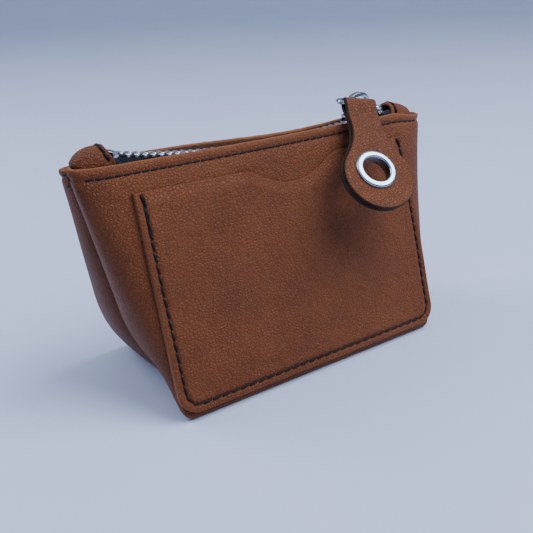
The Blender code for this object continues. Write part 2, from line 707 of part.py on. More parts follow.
def turned(name, profile, look):
    """A ring turned about Z from a closed profile of (radius, height) points."""
    mesh = bmesh.new()
    verts = [mesh.verts.new((r, 0.0, z)) for r, z in profile]
    for a, b in zip(verts, verts[1:] + verts[:1]):
        mesh.edges.new((a, b))
    data = bpy.data.meshes.new(name)
    mesh.to_mesh(data)
    mesh.free()
    obj = add_object(name, data, *look)
    screw = obj.modifiers.new("turn", "SCREW")
    screw.axis = "Z"
    screw.steps = screw.render_steps = 28
    screw.use_merge_vertices = True
    screw.merge_threshold = 0.00001
    return obj


def eyelet():
    """The front flange and the barrel, which passes through both layers of the fob."""
    face = FOB_LAYER_GAP / 2 + FOB_LAYER + GAP
    bore, barrel, rim = EYELET_BORE, EYELET_BORE + EYELET_BARREL, EYELET_RADIUS
    top = face + EYELET_FLANGE
    profile = [(barrel, face), (barrel, -top), (bore, -top), (bore, top - 0.4 * MM),
               (bore + 0.3 * MM, top - 0.1 * MM), ((rim + bore) / 2, top),
               (rim - 0.1 * MM, face + EYELET_FLANGE / 2), (rim, face)]
    obj = turned("eyelet", profile, STEEL_LOOK)
    obj.matrix_world = pull_frame(FOB_DROP) @ Matrix.Translation((0.0, -EYELET_DISTANCE, 0.0))
    return obj


def eyelet_washer():
    """The washer behind the fob, round the barrel."""
    face = -(FOB_LAYER_GAP / 2 + FOB_LAYER + GAP)
    hole, rim = EYELET_BORE + EYELET_BARREL + GAP, EYELET_RADIUS
    profile = [(rim, face), (rim, face - EYELET_FLANGE), (hole, face - EYELET_FLANGE), (hole, face)]
    obj = turned("eyelet_washer", profile, STEEL_LOOK)
    obj.matrix_world = pull_frame(FOB_DROP) @ Matrix.Translation((0.0, -EYELET_DISTANCE, 0.0))
    return obj


def hinge_empty(name, frame, pieces):
    """An empty on a joint's axis, with the pieces that move with it."""
    empty = bpy.data.objects.new(name, None)
    empty.empty_display_size = 5.0 * MM
    PARTS.objects.link(empty)
    empty.matrix_world = frame
    for piece in pieces:
        place = piece.matrix_world.copy()
        piece.parent = empty
        piece.matrix_parent_inverse = frame.inverted()
        piece.matrix_world = place
    return empty


def main():
    start_scene()
    panel("front_panel", FRONT)
    panel("back_panel", BACK)
    card_pocket()
    pocket_thread()
    hem_thread("hem_thread_front", FRONT)
    hem_thread("hem_thread_back", BACK)
    seam_thread("side_seam_thread_left", -1)
    seam_thread("side_seam_thread_right", 1)
    base_seam_thread()
    for name, end in (("left", -1), ("right", 1)):
        end_tab("zip_end_tab_" + name, end)
        tab_thread("tab_thread_" + name, end)
    for name, side in (("front", FRONT), ("back", BACK)):
        zip_tape("zip_tape_" + name, side)
        teeth_row("zip_teeth_" + name, side)
    near, far = POST_WIDTH / 2 + GAP, TOOTH_ROOT
    zip_stop("top_stop_front", CHAIN_END_X + GAP, -far, -near)
    zip_stop("top_stop_back", CHAIN_END_X + GAP, near, far)
    zip_stop("bottom_stop", CHAIN_START_X - STOP_LENGTH, -far, far)
    fob = hinge_empty("fob_swing_axis", pull_frame(FOB_DROP), [fob_strap(), eyelet(), eyelet_washer()])
    seat = chain_frame(SLIDER_X) @ Matrix.Translation(RING_SEAT)
    ring = hinge_empty("ring_swing_axis", seat, [pull_ring(), fob])
    arc_middle = Matrix.Translation((CHAIN_LOW_X, 0.0, CHAIN_LOW_Z + CHAIN_RADIUS))
    hinge_empty("zip_travel_axis", arc_middle, [slider_body(), slider_crown(), ring])


main()
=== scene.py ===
"""Looks of the zippered leather pouch: soft leather, stitches, zipper, slider, ring and fob.

Units are metres in the CAD frame: the origin is on the ground under the middle of the base, +X runs
along the pouch, -Y is the card pocket's side and +Z is up.
"""

import json
import math

import bmesh
import bpy
import numpy as np
from mathutils import Matrix, Vector, noise


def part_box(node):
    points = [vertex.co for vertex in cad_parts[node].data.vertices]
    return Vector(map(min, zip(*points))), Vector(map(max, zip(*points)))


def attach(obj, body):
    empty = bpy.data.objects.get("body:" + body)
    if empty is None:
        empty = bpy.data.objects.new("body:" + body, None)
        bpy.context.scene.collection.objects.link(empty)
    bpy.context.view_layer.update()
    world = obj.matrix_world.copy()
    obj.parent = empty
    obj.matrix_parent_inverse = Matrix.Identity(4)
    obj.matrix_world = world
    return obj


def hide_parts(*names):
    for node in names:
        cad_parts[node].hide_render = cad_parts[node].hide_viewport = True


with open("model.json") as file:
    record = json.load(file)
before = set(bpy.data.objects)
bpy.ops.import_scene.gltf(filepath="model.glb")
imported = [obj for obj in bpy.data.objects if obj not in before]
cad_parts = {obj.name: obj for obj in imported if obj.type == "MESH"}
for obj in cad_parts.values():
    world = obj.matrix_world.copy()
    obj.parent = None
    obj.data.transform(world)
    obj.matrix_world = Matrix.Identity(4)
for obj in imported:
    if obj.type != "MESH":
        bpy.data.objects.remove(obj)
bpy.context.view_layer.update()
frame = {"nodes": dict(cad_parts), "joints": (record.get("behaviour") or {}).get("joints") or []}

MM = 0.001
FRONT, BACK = -1, 1

# ---- sizes, from the frame where it has them

MOUTH_HALF_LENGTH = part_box("front_panel")[1].x
BASE_HALF_DEPTH = -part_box("front_panel")[0].y + 0.5 * MM
POCKET_HALF_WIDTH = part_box("card_pocket")[1].x
POCKET_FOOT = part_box("card_pocket")[0].z - 0.1 * MM
RING_WIRE = 0.7 * MM
LEATHER = 1.3 * MM
RIM_HEIGHT = 67.0 * MM
MOUTH_FLARE = 14.5 * MM
BASE_HALF_LENGTH = MOUTH_HALF_LENGTH - MOUTH_FLARE
MOUTH_HALF_DEPTH = 6.165 * MM
RIM_CURL = 0.8 * MM
CURL_START = 60.5 * MM
LEAN_SLOPE = (BASE_HALF_DEPTH - MOUTH_HALF_DEPTH - RIM_CURL) / RIM_HEIGHT
LEAN = math.atan(LEAN_SLOPE)
FLAT_HALF_LENGTH = POCKET_HALF_WIDTH - 1.0 * MM
HEM_DROP = 2.6 * MM
POCKET_MARGIN = 2.2 * MM
POCKET_HEAD = 6.8 * MM
POCKET_CORNER = 6.0 * MM
POCKET_HEIGHT = (RIM_HEIGHT - POCKET_HEAD - POCKET_FOOT) / math.cos(LEAN)
SCOOP_HALF_WIDTH = 14.0 * MM
SCOOP_DEPTH = 5.8 * MM
SCOOP_X = 3.8 * MM
THREAD_RADIUS = 0.36 * MM
STITCH_PITCH = 3.0 * MM

CHAIN_RADIUS = 270.0 * MM
CHAIN_LOW = Vector((6.0, 0.0, 63.4)) * MM
TOOTH_PITCH = 2.42 * MM
LAST_TOOTH_X = 38.6 * MM
CHAIN_START_X = -46.4 * MM
CHAIN_END_X = 44.2 * MM
TAB_INNER_X = 50.0 * MM
TAPE_HALF_LENGTH = 53.0 * MM

JOINTS = {joint["name"]: joint for joint in frame["joints"]}
BAR_MIDDLE = Vector(JOINTS["fob_swing"]["pos_m"])
FOB_YAW, FOB_DROP, FOB_ROLL = math.radians(-26.0), math.radians(43.0), math.radians(12.0)
RING_TILT = math.radians(-3.0)


def smooth(value):
    value = np.clip(value, 0.0, 1.0)
    return value * value * (3.0 - 2.0 * value)


# ---- materials

WAVE_SCALE = 0.314  # a wave texture's Scale for one band per metre
MIX_FACTOR, MIX_FIRST, MIX_SECOND, MIX_RESULT = 0, 6, 7, 2  # a Mix node's colour sockets, by number


class Shader:
    """A material's node tree, built up by short calls."""

    def __init__(self, name, roughness=0.5, metallic=0.0, **sockets):
        self.material = bpy.data.materials.new(name)
        self.material.use_nodes = True
        self.nodes = self.material.node_tree.nodes
        self.links = self.material.node_tree.links
        self.principled = self.nodes["Principled BSDF"]
        self.principled.inputs["Roughness"].default_value = roughness
        self.principled.inputs["Metallic"].default_value = metallic
        for socket, value in sockets.items():
            self.principled.inputs[socket.replace("_", " ")].default_value = value
        self.place = self.nodes.new("ShaderNodeTexCoord").outputs["Object"]

    def link(self, output, socket):
        self.links.new(output, self.principled.inputs[socket])

    def add(self, kind, inputs, **settings):
        """A new node; each of its inputs gets a value, or a link from another node's output."""
        node = self.nodes.new("ShaderNode" + kind)
        for key, value in settings.items():
            setattr(node, key, value)
        for key, value in inputs.items():
            if isinstance(value, bpy.types.NodeSocket):
                self.links.new(value, node.inputs[key])
            else:
                node.inputs[key].default_value = value
        return node

    def noise(self, size, detail=2.0, roughness=0.5, place=None):
        inputs = {"Scale": 1.0 / size, "Detail": detail, "Roughness": roughness}
        return self.add("TexNoise", {**inputs, "Vector": place or self.place}).outputs["Fac"]

    def cells(self, size, place):
        node = self.add("TexVoronoi", {"Scale": 1.0 / size, "Vector": place}, feature="DISTANCE_TO_EDGE")
        return node.outputs["Distance"]

    def waves(self, size, axis):
        inputs = {"Scale": WAVE_SCALE / size, "Vector": self.place}
        return self.add("TexWave", inputs, bands_direction=axis).outputs["Fac"]

    def stretch(self, scale):
        return self.add("VectorMath", {0: self.place, 1: scale}, operation="MULTIPLY").outputs["Vector"]

    def warp(self, size, amount):
        """The place, moved about a little, so that cells lose their straight edges."""
        wobble = self.add("TexNoise", {"Scale": 1.0 / size, "Vector": self.place}).outputs["Color"]
        scaled = self.add("VectorMath", {0: wobble, "Scale": amount}, operation="SCALE").outputs["Vector"]
        return self.add("VectorMath", {0: self.place, 1: scaled}).outputs["Vector"]

    def ramp(self, value, *stops):
        node = self.nodes.new("ShaderNodeValToRGB")
        elements = node.color_ramp.elements
        while len(elements) < len(stops):
            elements.new(0.5)
        for element, (position, colour) in zip(elements, stops):
            element.position = position
            element.color = (*colour, 1.0) if len(colour) == 3 else (colour[0],) * 3 + (1.0,)
        self.links.new(value, node.inputs["Fac"])
        return node.outputs["Color"]

    def math(self, operation, first, second):
        return self.add("Math", {0: first, 1: second}, operation=operation).outputs["Value"]

    def mix(self, factor, first, second, blend="MIX"):
        inputs = {MIX_FACTOR: factor, MIX_FIRST: first, MIX_SECOND: second}
        return self.add("Mix", inputs, data_type="RGBA", blend_type=blend).outputs[MIX_RESULT]

    def attribute(self, name):
        return self.add("Attribute", {}, attribute_name=name).outputs["Fac"]

    def bump(self, height, distance, strength=1.0, under=None):
        inputs = {"Strength": strength, "Distance": distance, "Height": height}
        if under is not None:
            inputs["Normal"] = under
        return self.add("Bump", inputs).outputs["Normal"]


TAN = (0.140, 0.036, 0.0085)
TAN_DARK = (0.114, 0.028, 0.0068)
TAN_LIGHT = (0.168, 0.046, 0.0118)
RAW_EDGE = (0.260, 0.085, 0.030)
DARK_EDGE = (0.036, 0.015, 0.008)


def leather(name, edge_colour, edge_dark):
    """Vegetable-tanned leather: fine pebbled grain, soft mottling and an uneven half-matte sheen."""
    s = Shader(name, roughness=0.5, IOR=1.45, Specular_IOR_Level=0.22, Sheen_Weight=0.03, Sheen_Roughness=0.5)
    clouds = s.noise(22 * MM, 3.0)
    blotches = s.noise(5 * MM, 3.0, 0.6)
    grain_place = s.warp(1.4 * MM, 0.5 * MM)
    pebbles = s.cells(0.90 * MM, grain_place)
    pores = s.noise(0.35 * MM, 2.0)
    tone = s.ramp(clouds, (0.32, TAN_DARK), (0.5, TAN), (0.72, TAN_LIGHT))
    tone = s.mix(0.35, tone, s.ramp(blotches, (0.3, TAN_DARK), (0.65, TAN_LIGHT)))
    valleys = s.ramp(pebbles, (0.0, (0.55,)), (0.16, (1.0,)))
    tone = s.mix(0.75, tone, valleys, "MULTIPLY")
    fine = s.ramp(pores, (0.35, (0.86,)), (0.65, (1.08,)))
    tone = s.mix(0.8, tone, fine, "MULTIPLY")
    edge = s.attribute("edge")
    fibres = s.ramp(s.noise(0.5 * MM, 3.0), (0.3, edge_dark), (0.7, edge_colour))
    s.link(s.mix(edge, tone, fibres), "Base Color")
    rough = s.math("ADD", s.math("MULTIPLY", blotches, 0.22), 0.40)
    s.link(s.math("ADD", rough, s.math("MULTIPLY", edge, 0.25)), "Roughness")
    raised = s.ramp(pebbles, (0.0, (0.0,)), (0.22, (0.85,)), (0.6, (1.0,)))
    coarse = s.bump(s.noise(3.2 * MM, 3.0, 0.55), 0.45 * MM, 0.7)
    grained = s.bump(raised, 0.14 * MM, 1.0, coarse)
    s.link(s.bump(pores, 0.06 * MM, 0.9, grained), "Normal")
    return s.material


def suede(name):
    """The flesh side of the leather, which faces inwards."""
    s = Shader(name, roughness=0.9)
    nap = s.noise(1.2 * MM, 4.0)
    s.link(s.ramp(nap, (0.3, (0.16, 0.075, 0.042)), (0.7, (0.24, 0.125, 0.075))), "Base Color")
    s.link(s.bump(s.noise(0.3 * MM, 3.0), 0.12 * MM), "Normal")
    return s.material


def waxed_thread(name):
    s = Shader(name, roughness=0.55, IOR=1.45, Specular_IOR_Level=0.2)
    strands = s.noise(0.35 * MM, 2.0, place=s.stretch((1.0, 1.0, 0.35)))
    s.link(s.ramp(strands, (0.3, (0.002, 0.002, 0.004)), (0.7, (0.010, 0.010, 0.015))), "Base Color")
    s.link(s.bump(strands, 0.12 * MM), "Normal")
    return s.material


def woven_tape(name):
    """Navy zipper tape: fine ribs across the tape and a lighter fleck."""
    s = Shader(name, roughness=0.9, Specular_IOR_Level=0.15, Sheen_Weight=0.06)
    ribs = s.waves(0.62 * MM, "X")
    picks = s.waves(0.42 * MM, "Z")
    weave = s.math("MULTIPLY", ribs, picks)
    tone = s.ramp(weave, (0.0, (0.003, 0.004, 0.008)), (0.6, (0.012, 0.016, 0.032)))
    fleck = s.ramp(s.noise(0.5 * MM, 2.0), (0.35, (0.75,)), (0.7, (1.35,)))
    s.link(s.mix(1.0, tone, fleck, "MULTIPLY"), "Base Color")
    s.link(s.bump(weave, 0.16 * MM), "Normal")
    return s.material


def nickel(name, roughness=0.16, tint=(0.40, 0.41, 0.43)):
    """Plated metal with small rubs and a slightly uneven polish."""
    s = Shader(name, roughness=roughness, metallic=1.0)
    smudge = s.noise(2.5 * MM, 4.0, 0.6)
    dull = tuple(c * 0.82 for c in tint)
    s.link(s.ramp(smudge, (0.35, dull), (0.65, tint)), "Base Color")
    s.link(s.math("ADD", s.math("MULTIPLY", smudge, roughness), roughness * 0.5), "Roughness")
    s.link(s.bump(s.noise(0.9 * MM, 3.0), 0.012 * MM), "Normal")
    return s.material


BODY_LEATHER = leather("body_leather", RAW_EDGE, (0.20, 0.080, 0.038))
FOB_LEATHER = leather("fob_leather", DARK_EDGE, (0.014, 0.008, 0.006))
FLESH_SIDE = suede("flesh_side")
THREAD = waxed_thread("waxed_thread")
TAPE = woven_tape("woven_tape")
NICKEL = nickel("nickel")
TOOTH_NICKEL = nickel("tooth_nickel", 0.26, (0.60, 0.59, 0.57))
RING_NICKEL = nickel("ring_nickel", 0.12, (0.48, 0.49, 0.51))
# The eyelet's blue tint is a painted reflection of the sky, laid over the metal's own mirroring of the world.
EYELET_NICKEL_PAINTED_SKY = nickel("eyelet_nickel_painted_sky", 0.18, (0.42, 0.52, 0.62))


# ---- mesh helpers


def add_object(name, data):
    obj = bpy.data.objects.new(name, data)
    bpy.context.scene.collection.objects.link(obj)
    return obj


def mesh_object(name, mesh, material=None):
    """An object from a bmesh, shaded smooth if it has a material."""
    data = bpy.data.meshes.new(name)
    mesh.to_mesh(data)
    mesh.free()
    if material is not None:
        data.materials.append(material)
        data.shade_smooth()
    return add_object(name, data)


def add_piece(name, verts, faces, materials, edge=None, face_slots=None):
    """A shaded-smooth mesh object, with the edge wear as a point attribute."""
    data = bpy.data.meshes.new(name)
    data.from_pydata([tuple(v) for v in verts], [], faces)
    for material in materials:
        data.materials.append(material)
    if face_slots is not None:
        data.polygons.foreach_set("material_index", np.asarray(face_slots, np.int32))
    worn = data.attributes.new("edge", "FLOAT", "POINT")
    worn.data.foreach_set("value", np.zeros(len(data.vertices), np.float32) if edge is None else edge)
    data.shade_smooth()
    return add_object(name, data)


def clean_mesh(obj, merge=0.0):
    """Join vertices this close, fill open edges and turn every face outwards."""
    mesh = bmesh.new()
    mesh.from_mesh(obj.data)
    if merge:
        bmesh.ops.remove_doubles(mesh, verts=mesh.verts[:], dist=merge)
    bmesh.ops.holes_fill(mesh, edges=[edge for edge in mesh.edges if edge.is_boundary])
    bmesh.ops.recalc_face_normals(mesh, faces=mesh.faces[:])
    mesh.to_mesh(obj.data)
    mesh.free()


def grid_faces(rows, columns, start=0, closed=False, flip=False):
    faces = []
    span = columns if closed else columns - 1
    for i in range(rows - 1):
        for j in range(span):
            k = (j + 1) % columns
            quad = (start + i * columns + j, start + i * columns + k,
                    start + (i + 1) * columns + k, start + (i + 1) * columns + j)
            faces.append(quad[::-1] if flip else quad)
    return faces


def two_sided_faces(rows, columns):
    """A front grid, a back grid, and the strip round their border that closes them."""
    count = rows * columns
    faces = grid_faces(rows, columns) + grid_faces(rows, columns, count, flip=True)
    border = [j for j in range(columns)] + [i * columns + columns - 1 for i in range(1, rows)]
    border += [(rows - 1) * columns + j for j in range(columns - 2, -1, -1)]
    border += [i * columns for i in range(rows - 2, 0, -1)]
    return faces + [(a, a + count, b + count, b) for a, b in zip(border, border[1:] + border[:1])]


def folded_faces(rows, columns, turn_far_side=False):
    """A sheet whose second half of rows is its back, joined along its foot and up both sides."""
    faces = grid_faces(rows, columns)
    last = (rows - 1) * columns
    faces += [(last + j, last + j + 1, j + 1, j) for j in range(columns - 1)]
    for column in (0, columns - 1):
        loop = [i * columns + column for i in range(rows)]
        for i in range((rows - 2) // 2):
            quad = (loop[i], loop[i + 1], loop[rows - 2 - i], loop[rows - 1 - i])
            faces.append(quad[::-1] if column and turn_far_side else quad)
    return faces


def grid_normals(points):
    """Unit normals of a grid of points, by the cross product of its two directions."""
    along = np.gradient(points, axis=1)
    up = np.gradient(points, axis=0)
    normal = np.cross(along, up)
    return normal / np.maximum(np.linalg.norm(normal, axis=2, keepdims=True), 1e-12)


def ridge(away, width):
    """1 on a line and fading to 0 beside it; away is the distance from the line."""
    return np.exp(-((away / width) ** 2))


def edge_fall(gap, radius):
    """How far a rounded edge falls away, at this distance inside its outline."""
    return radius - np.sqrt(radius**2 - np.clip(radius - gap, 0.0, radius) ** 2)


def wander(points, size, seed):
    """Smooth noise from -1 to 1 at each point, the same each run."""
    shift = Vector((seed * 3.1, seed * 1.7, seed * 2.3))
    flat = points.reshape(-1, 3) / size
    values = [noise.noise(Vector(p) + shift) for p in flat]
    return np.array(values).reshape(points.shape[:-1])


def smooth_points(points, per_span=8):
    """A Catmull-Rom curve through these points."""
    p = np.asarray(points, float)
    p = np.vstack([2 * p[0] - p[1], p, 2 * p[-1] - p[-2]])
    out = []
    for a, b, c, d in zip(p, p[1:], p[2:], p[3:]):
        for t in np.linspace(0, 1, per_span, endpoint=False):
            out.append(0.5 * (2 * b + (c - a) * t + (2 * a - 5 * b + 4 * c - d) * t**2
                              + (3 * b - a - 3 * c + d) * t**3))
    out.append(p[-2])
    return np.array(out)


# ---- the body's shape


RIM_END_DROP = 2.2 * MM
RIM_BACK_DIP = 2.2 * MM
RIM_FRONT_LIFT = 0.9 * MM
CREASE_DEPTH = 4.0 * MM
FOOT_DRAW = 9.0 * MM  # how far the ends are pulled in at the floor
FOOT_DRAW_HEIGHT = 28.0 * MM
SEAM_HALF_GAP = 0.15 * MM
CORNER_PULL = 0.6  # how full the rounded corners are, as a share of their reach
HEM_GROOVE = 0.34 * MM
FLAT_STEPS, TURN_STEPS, END_STEPS = 78, 26, 24


def curl_share(z):
    """0 up to where the walls start to curl in, 1 at the rim."""
    return smooth((z - CURL_START) / (RIM_HEIGHT - CURL_START))


def rim_height(x, side):
    height = RIM_HEIGHT - RIM_END_DROP * smooth((x / MOUTH_HALF_LENGTH - 0.75) / 0.25)
    if side == FRONT:
        return height + RIM_FRONT_LIFT * smooth(-x / MOUTH_HALF_LENGTH)
    return height - RIM_BACK_DIP * ridge(x - 15.0 * MM, 30.0 * MM)


def lifted(x, z, side):
    return z + curl_share(z) * (rim_height(x, side) - RIM_HEIGHT)


def rounding(z, radius):
    if z >= radius:
        return 0.0
    return radius - math.sqrt(radius**2 - (radius - z) ** 2)


def half_length(z):
    return BASE_HALF_LENGTH + MOUTH_FLARE * z / RIM_HEIGHT - rounding(z, 3.0 * MM)


def half_depth(z):
    curl = RIM_CURL * curl_share(z)
    return BASE_HALF_DEPTH - LEAN_SLOPE * z - curl - rounding(z, 2.0 * MM)


def crease_depth(z):
    fade = 1.0 - 0.7 * smooth((z / RIM_HEIGHT - 0.6) / 0.4)
    return CREASE_DEPTH * smooth(z / (10.0 * MM)) * fade


def bezier(a, b, c, d, count):
    t = np.linspace(0, 1, count)[:, None]
    return (1 - t) ** 3 * a + 3 * (1 - t) ** 2 * t * b + 3 * (1 - t) * t**2 * c + t**3 * d


def half_section(z):
    """Outer face at height z, from the middle of the front round the right end to the side seam."""
    length, depth = half_length(z), half_depth(z)
    crease = crease_depth(z)
    flat = min(FLAT_HALF_LENGTH, length - 1.6 * MM)
    bulge_y = -0.45 * depth
    corner, bulge = np.array((flat, -depth)), np.array((length, bulge_y))
    seam = np.array((length - crease, -SEAM_HALF_GAP))
    across = np.array(((length - flat) * CORNER_PULL, 0.0))
    forward = np.array((0.0, (bulge_y + depth) * CORNER_PULL))
    backward = np.array((0.0, -bulge_y * CORNER_PULL))
    inwards = np.array((crease * CORNER_PULL, 0.0))
    along = np.linspace(0, flat, FLAT_STEPS, endpoint=False)
    front = np.stack([along, np.full(FLAT_STEPS, -depth)], axis=1)
    turn = bezier(corner, corner + across, bulge - forward, bulge, TURN_STEPS)
    end = bezier(bulge, bulge + backward, seam + inwards, seam, END_STEPS)
    return np.vstack([front, turn, end[1:]])


def full_section(z):
    right = half_section(z)
    return np.vstack([right[:0:-1] * (-1.0, 1.0), right])


def outer_depth(x, z):
    points = half_section(z)
    widest = int(np.argmax(points[:, 0]))
    return float(np.interp(abs(x), points[: widest + 1, 0], -points[: widest + 1, 1]))


def inner_depth(x, z):
    step = 0.5 * MM
    slope = (outer_depth(x, z) - outer_depth(abs(x) + step, z)) / step
    return outer_depth(x, z) - LEATHER * math.sqrt(1.0 + slope**2 + LEAN_SLOPE**2)


def softness(points, side):
    """How far the leather stands out from its plain form: slow waves, and none where it rests."""
    seed = 2 if side == FRONT else 7
    slow = wander(points, 34 * MM, seed) * 0.55 * MM
    quick = wander(points * (1.0, 1.0, 0.5), 11 * MM, seed + 1) * 0.16 * MM
    z = points[..., 2]
    free = smooth((z - 3.0 * MM) / (10 * MM)) * (1.0 - 0.55 * smooth((z - 55 * MM) / (8 * MM)))
    return (slow + quick) * free


def drawn_in(x, y, z, side):
    """How far the ends sweep in towards the base; the front wall keeps its corners, under the pocket."""
    amount = FOOT_DRAW * np.clip(1.0 - z / FOOT_DRAW_HEIGHT, 0.0, 1.0) ** 2
    near_end = smooth((np.abs(x) / half_length(z) - 0.55) / 0.4)
    if side == FRONT:
        near_end = near_end * (1.0 - smooth((np.abs(y) / half_depth(z) - 0.35) / 0.65))
    return np.sign(x) * amount * near_end


def panel(name, side, node):
    """One wall with its ends and its half of the base: outer face, rounded raw rim and flesh side."""
    heights = list(np.linspace(0.0, 3.2 * MM, 9)) + list(np.linspace(4.2 * MM, 58.0 * MM, 62))
    heights += list(np.linspace(58.8 * MM, RIM_HEIGHT - 0.45 * MM, 18))
    rows = []
    for z in heights:
        section = full_section(z)
        x, y = section[:, 0], -side * section[:, 1]
        x = x - drawn_in(x, y, z, side)
        rows.append(np.stack([x, y, lifted(x, z, side)], axis=1))
    wall = np.array(rows)
    outline = wall[0]
    reach = BASE_HALF_LENGTH - 18.0 * MM
    share = np.linspace(-1, 1, len(outline))
    base_rows = []
    seam_y = np.full(len(share), side * SEAM_HALF_GAP)
    target = np.stack([share * reach, seam_y, np.zeros(len(share))], axis=1)
    for t in np.linspace(0.0, 1.0, 15)[:-1]:
        fold = 1.0 - smooth(t / 0.14)
        row = outline * t + target * (1 - t)
        row[:, 2] += 0.8 * MM * fold
        base_rows.append(row)
    outer = np.vstack([np.array(base_rows), wall])
    normal = grid_normals(outer) * -side
    base_count = len(base_rows)
    stands = softness(outer, side)
    stands[:base_count] *= 0.0
    z = outer[..., 2]
    hem = lifted(outer[..., 0], RIM_HEIGHT - HEM_DROP, side)
    stands -= HEM_GROOVE * ridge(z - hem, 0.55 * MM)
    stands += 0.12 * MM * ridge(z - hem - 1.3 * MM, 0.6 * MM)
    outer = outer + normal * stands[..., None]
    up = np.array((0.0, side * LEAN_SLOPE * -0.8, 1.0))
    lips, lip_edge = [], []
    for depth, drop in ((0.05, 0.12), (0.16, 0.30), (0.34, 0.42), (0.66, 0.44), (0.84, 0.34), (0.95, 0.16)):
        rough = wander(outer[-1], 2.2 * MM, 5 + side) * 0.08 * MM
        lips.append(outer[-1] - normal[-1] * (depth * LEATHER) + up * (drop * MM) + up * rough[:, None])
        lip_edge.append(0.75 if 0.1 < depth < 0.9 else 0.4)
    inner = outer[::-1] - normal[::-1] * LEATHER
    sheet = np.vstack([outer, np.array(lips), inner])
    edge = np.zeros(sheet.shape[:2], np.float32)
    first = len(outer)
    for i, value in enumerate(lip_edge):
        edge[first + i] = value
    edge[first - 3:first] = np.array((0.05, 0.15, 0.3))[:, None]
    count_rows, count_columns = sheet.shape[:2]
    faces = grid_faces(count_rows, count_columns, flip=side == BACK)
    slots = np.zeros(len(faces), np.int32)
    slots[(first + len(lips)) * (count_columns - 1):] = 1
    for column, turn in ((0, side == FRONT), (count_columns - 1, side == BACK)):
        for i in range(first - 1):
            a, b, c, d = (row * count_columns + column
                          for row in (i, i + 1, count_rows - 2 - i, count_rows - 1 - i))
            faces.append((a, b, c, d) if turn else (d, c, b, a))
        lip_loop = [(first - 1 + i) * count_columns + column for i in range(len(lips) + 2)]
        faces.append(tuple(lip_loop) if turn else tuple(lip_loop[::-1]))
    last = (count_rows - 1) * count_columns
    for j in range(count_columns - 1):
        quad = (j, j + 1, last + j + 1, last + j)
        faces.append(quad if side == BACK else quad[::-1])
    slots = np.concatenate([slots, np.zeros(len(faces) - len(slots), np.int32)])
    obj = add_piece(name, sheet.reshape(-1, 3), faces, [BODY_LEATHER, FLESH_SIDE], edge.reshape(-1), slots)
    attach(obj, "pouch")
    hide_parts(node)
    return outer, normal


# ---- card pocket


def pocket_frame():
    foot = Vector((0.0, -BASE_HALF_DEPTH + LEAN_SLOPE * POCKET_FOOT, POCKET_FOOT))
    return Matrix.Translation(foot) @ Matrix.Rotation(math.radians(90.0) - LEAN, 4, "X")


def pocket_top(x):
    """Height of the pocket's slot edge: level, with a round scoop for the thumb."""
    radius = (SCOOP_HALF_WIDTH**2 + SCOOP_DEPTH**2) / (2 * SCOOP_DEPTH)
    away = np.abs(x - SCOOP_X)
    drop = np.where(away < SCOOP_HALF_WIDTH,
                    np.sqrt(np.maximum(radius**2 - away**2, 0.0)) - (radius - SCOOP_DEPTH), 0.0)
    sag = 0.5 * MM * ridge(x + 12 * MM, 20 * MM)
    soft_corner = 0.7 * MM * ridge(away - SCOOP_HALF_WIDTH, 2.2 * MM)
    return POCKET_HEIGHT - np.maximum(drop, 0.0) - sag - soft_corner


def spaced(length, fine, fine_step, coarse_step):
    """Places from 0 to length, close together near both ends."""
    near = np.concatenate([[0.0, 0.1, 0.22, 0.4], np.arange(0.65, fine / MM, fine_step / MM)]) * MM
    steps = max(2, int((length - 2 * near[-1]) / coarse_step))
    middle = np.linspace(near[-1], length - near[-1], steps + 1)
    return np.concatenate([near, middle[1:-1], (length - near)[::-1]])


def placed(points, matrix):
    return points @ np.array(matrix.to_3x3()).T + np.array(matrix.translation)


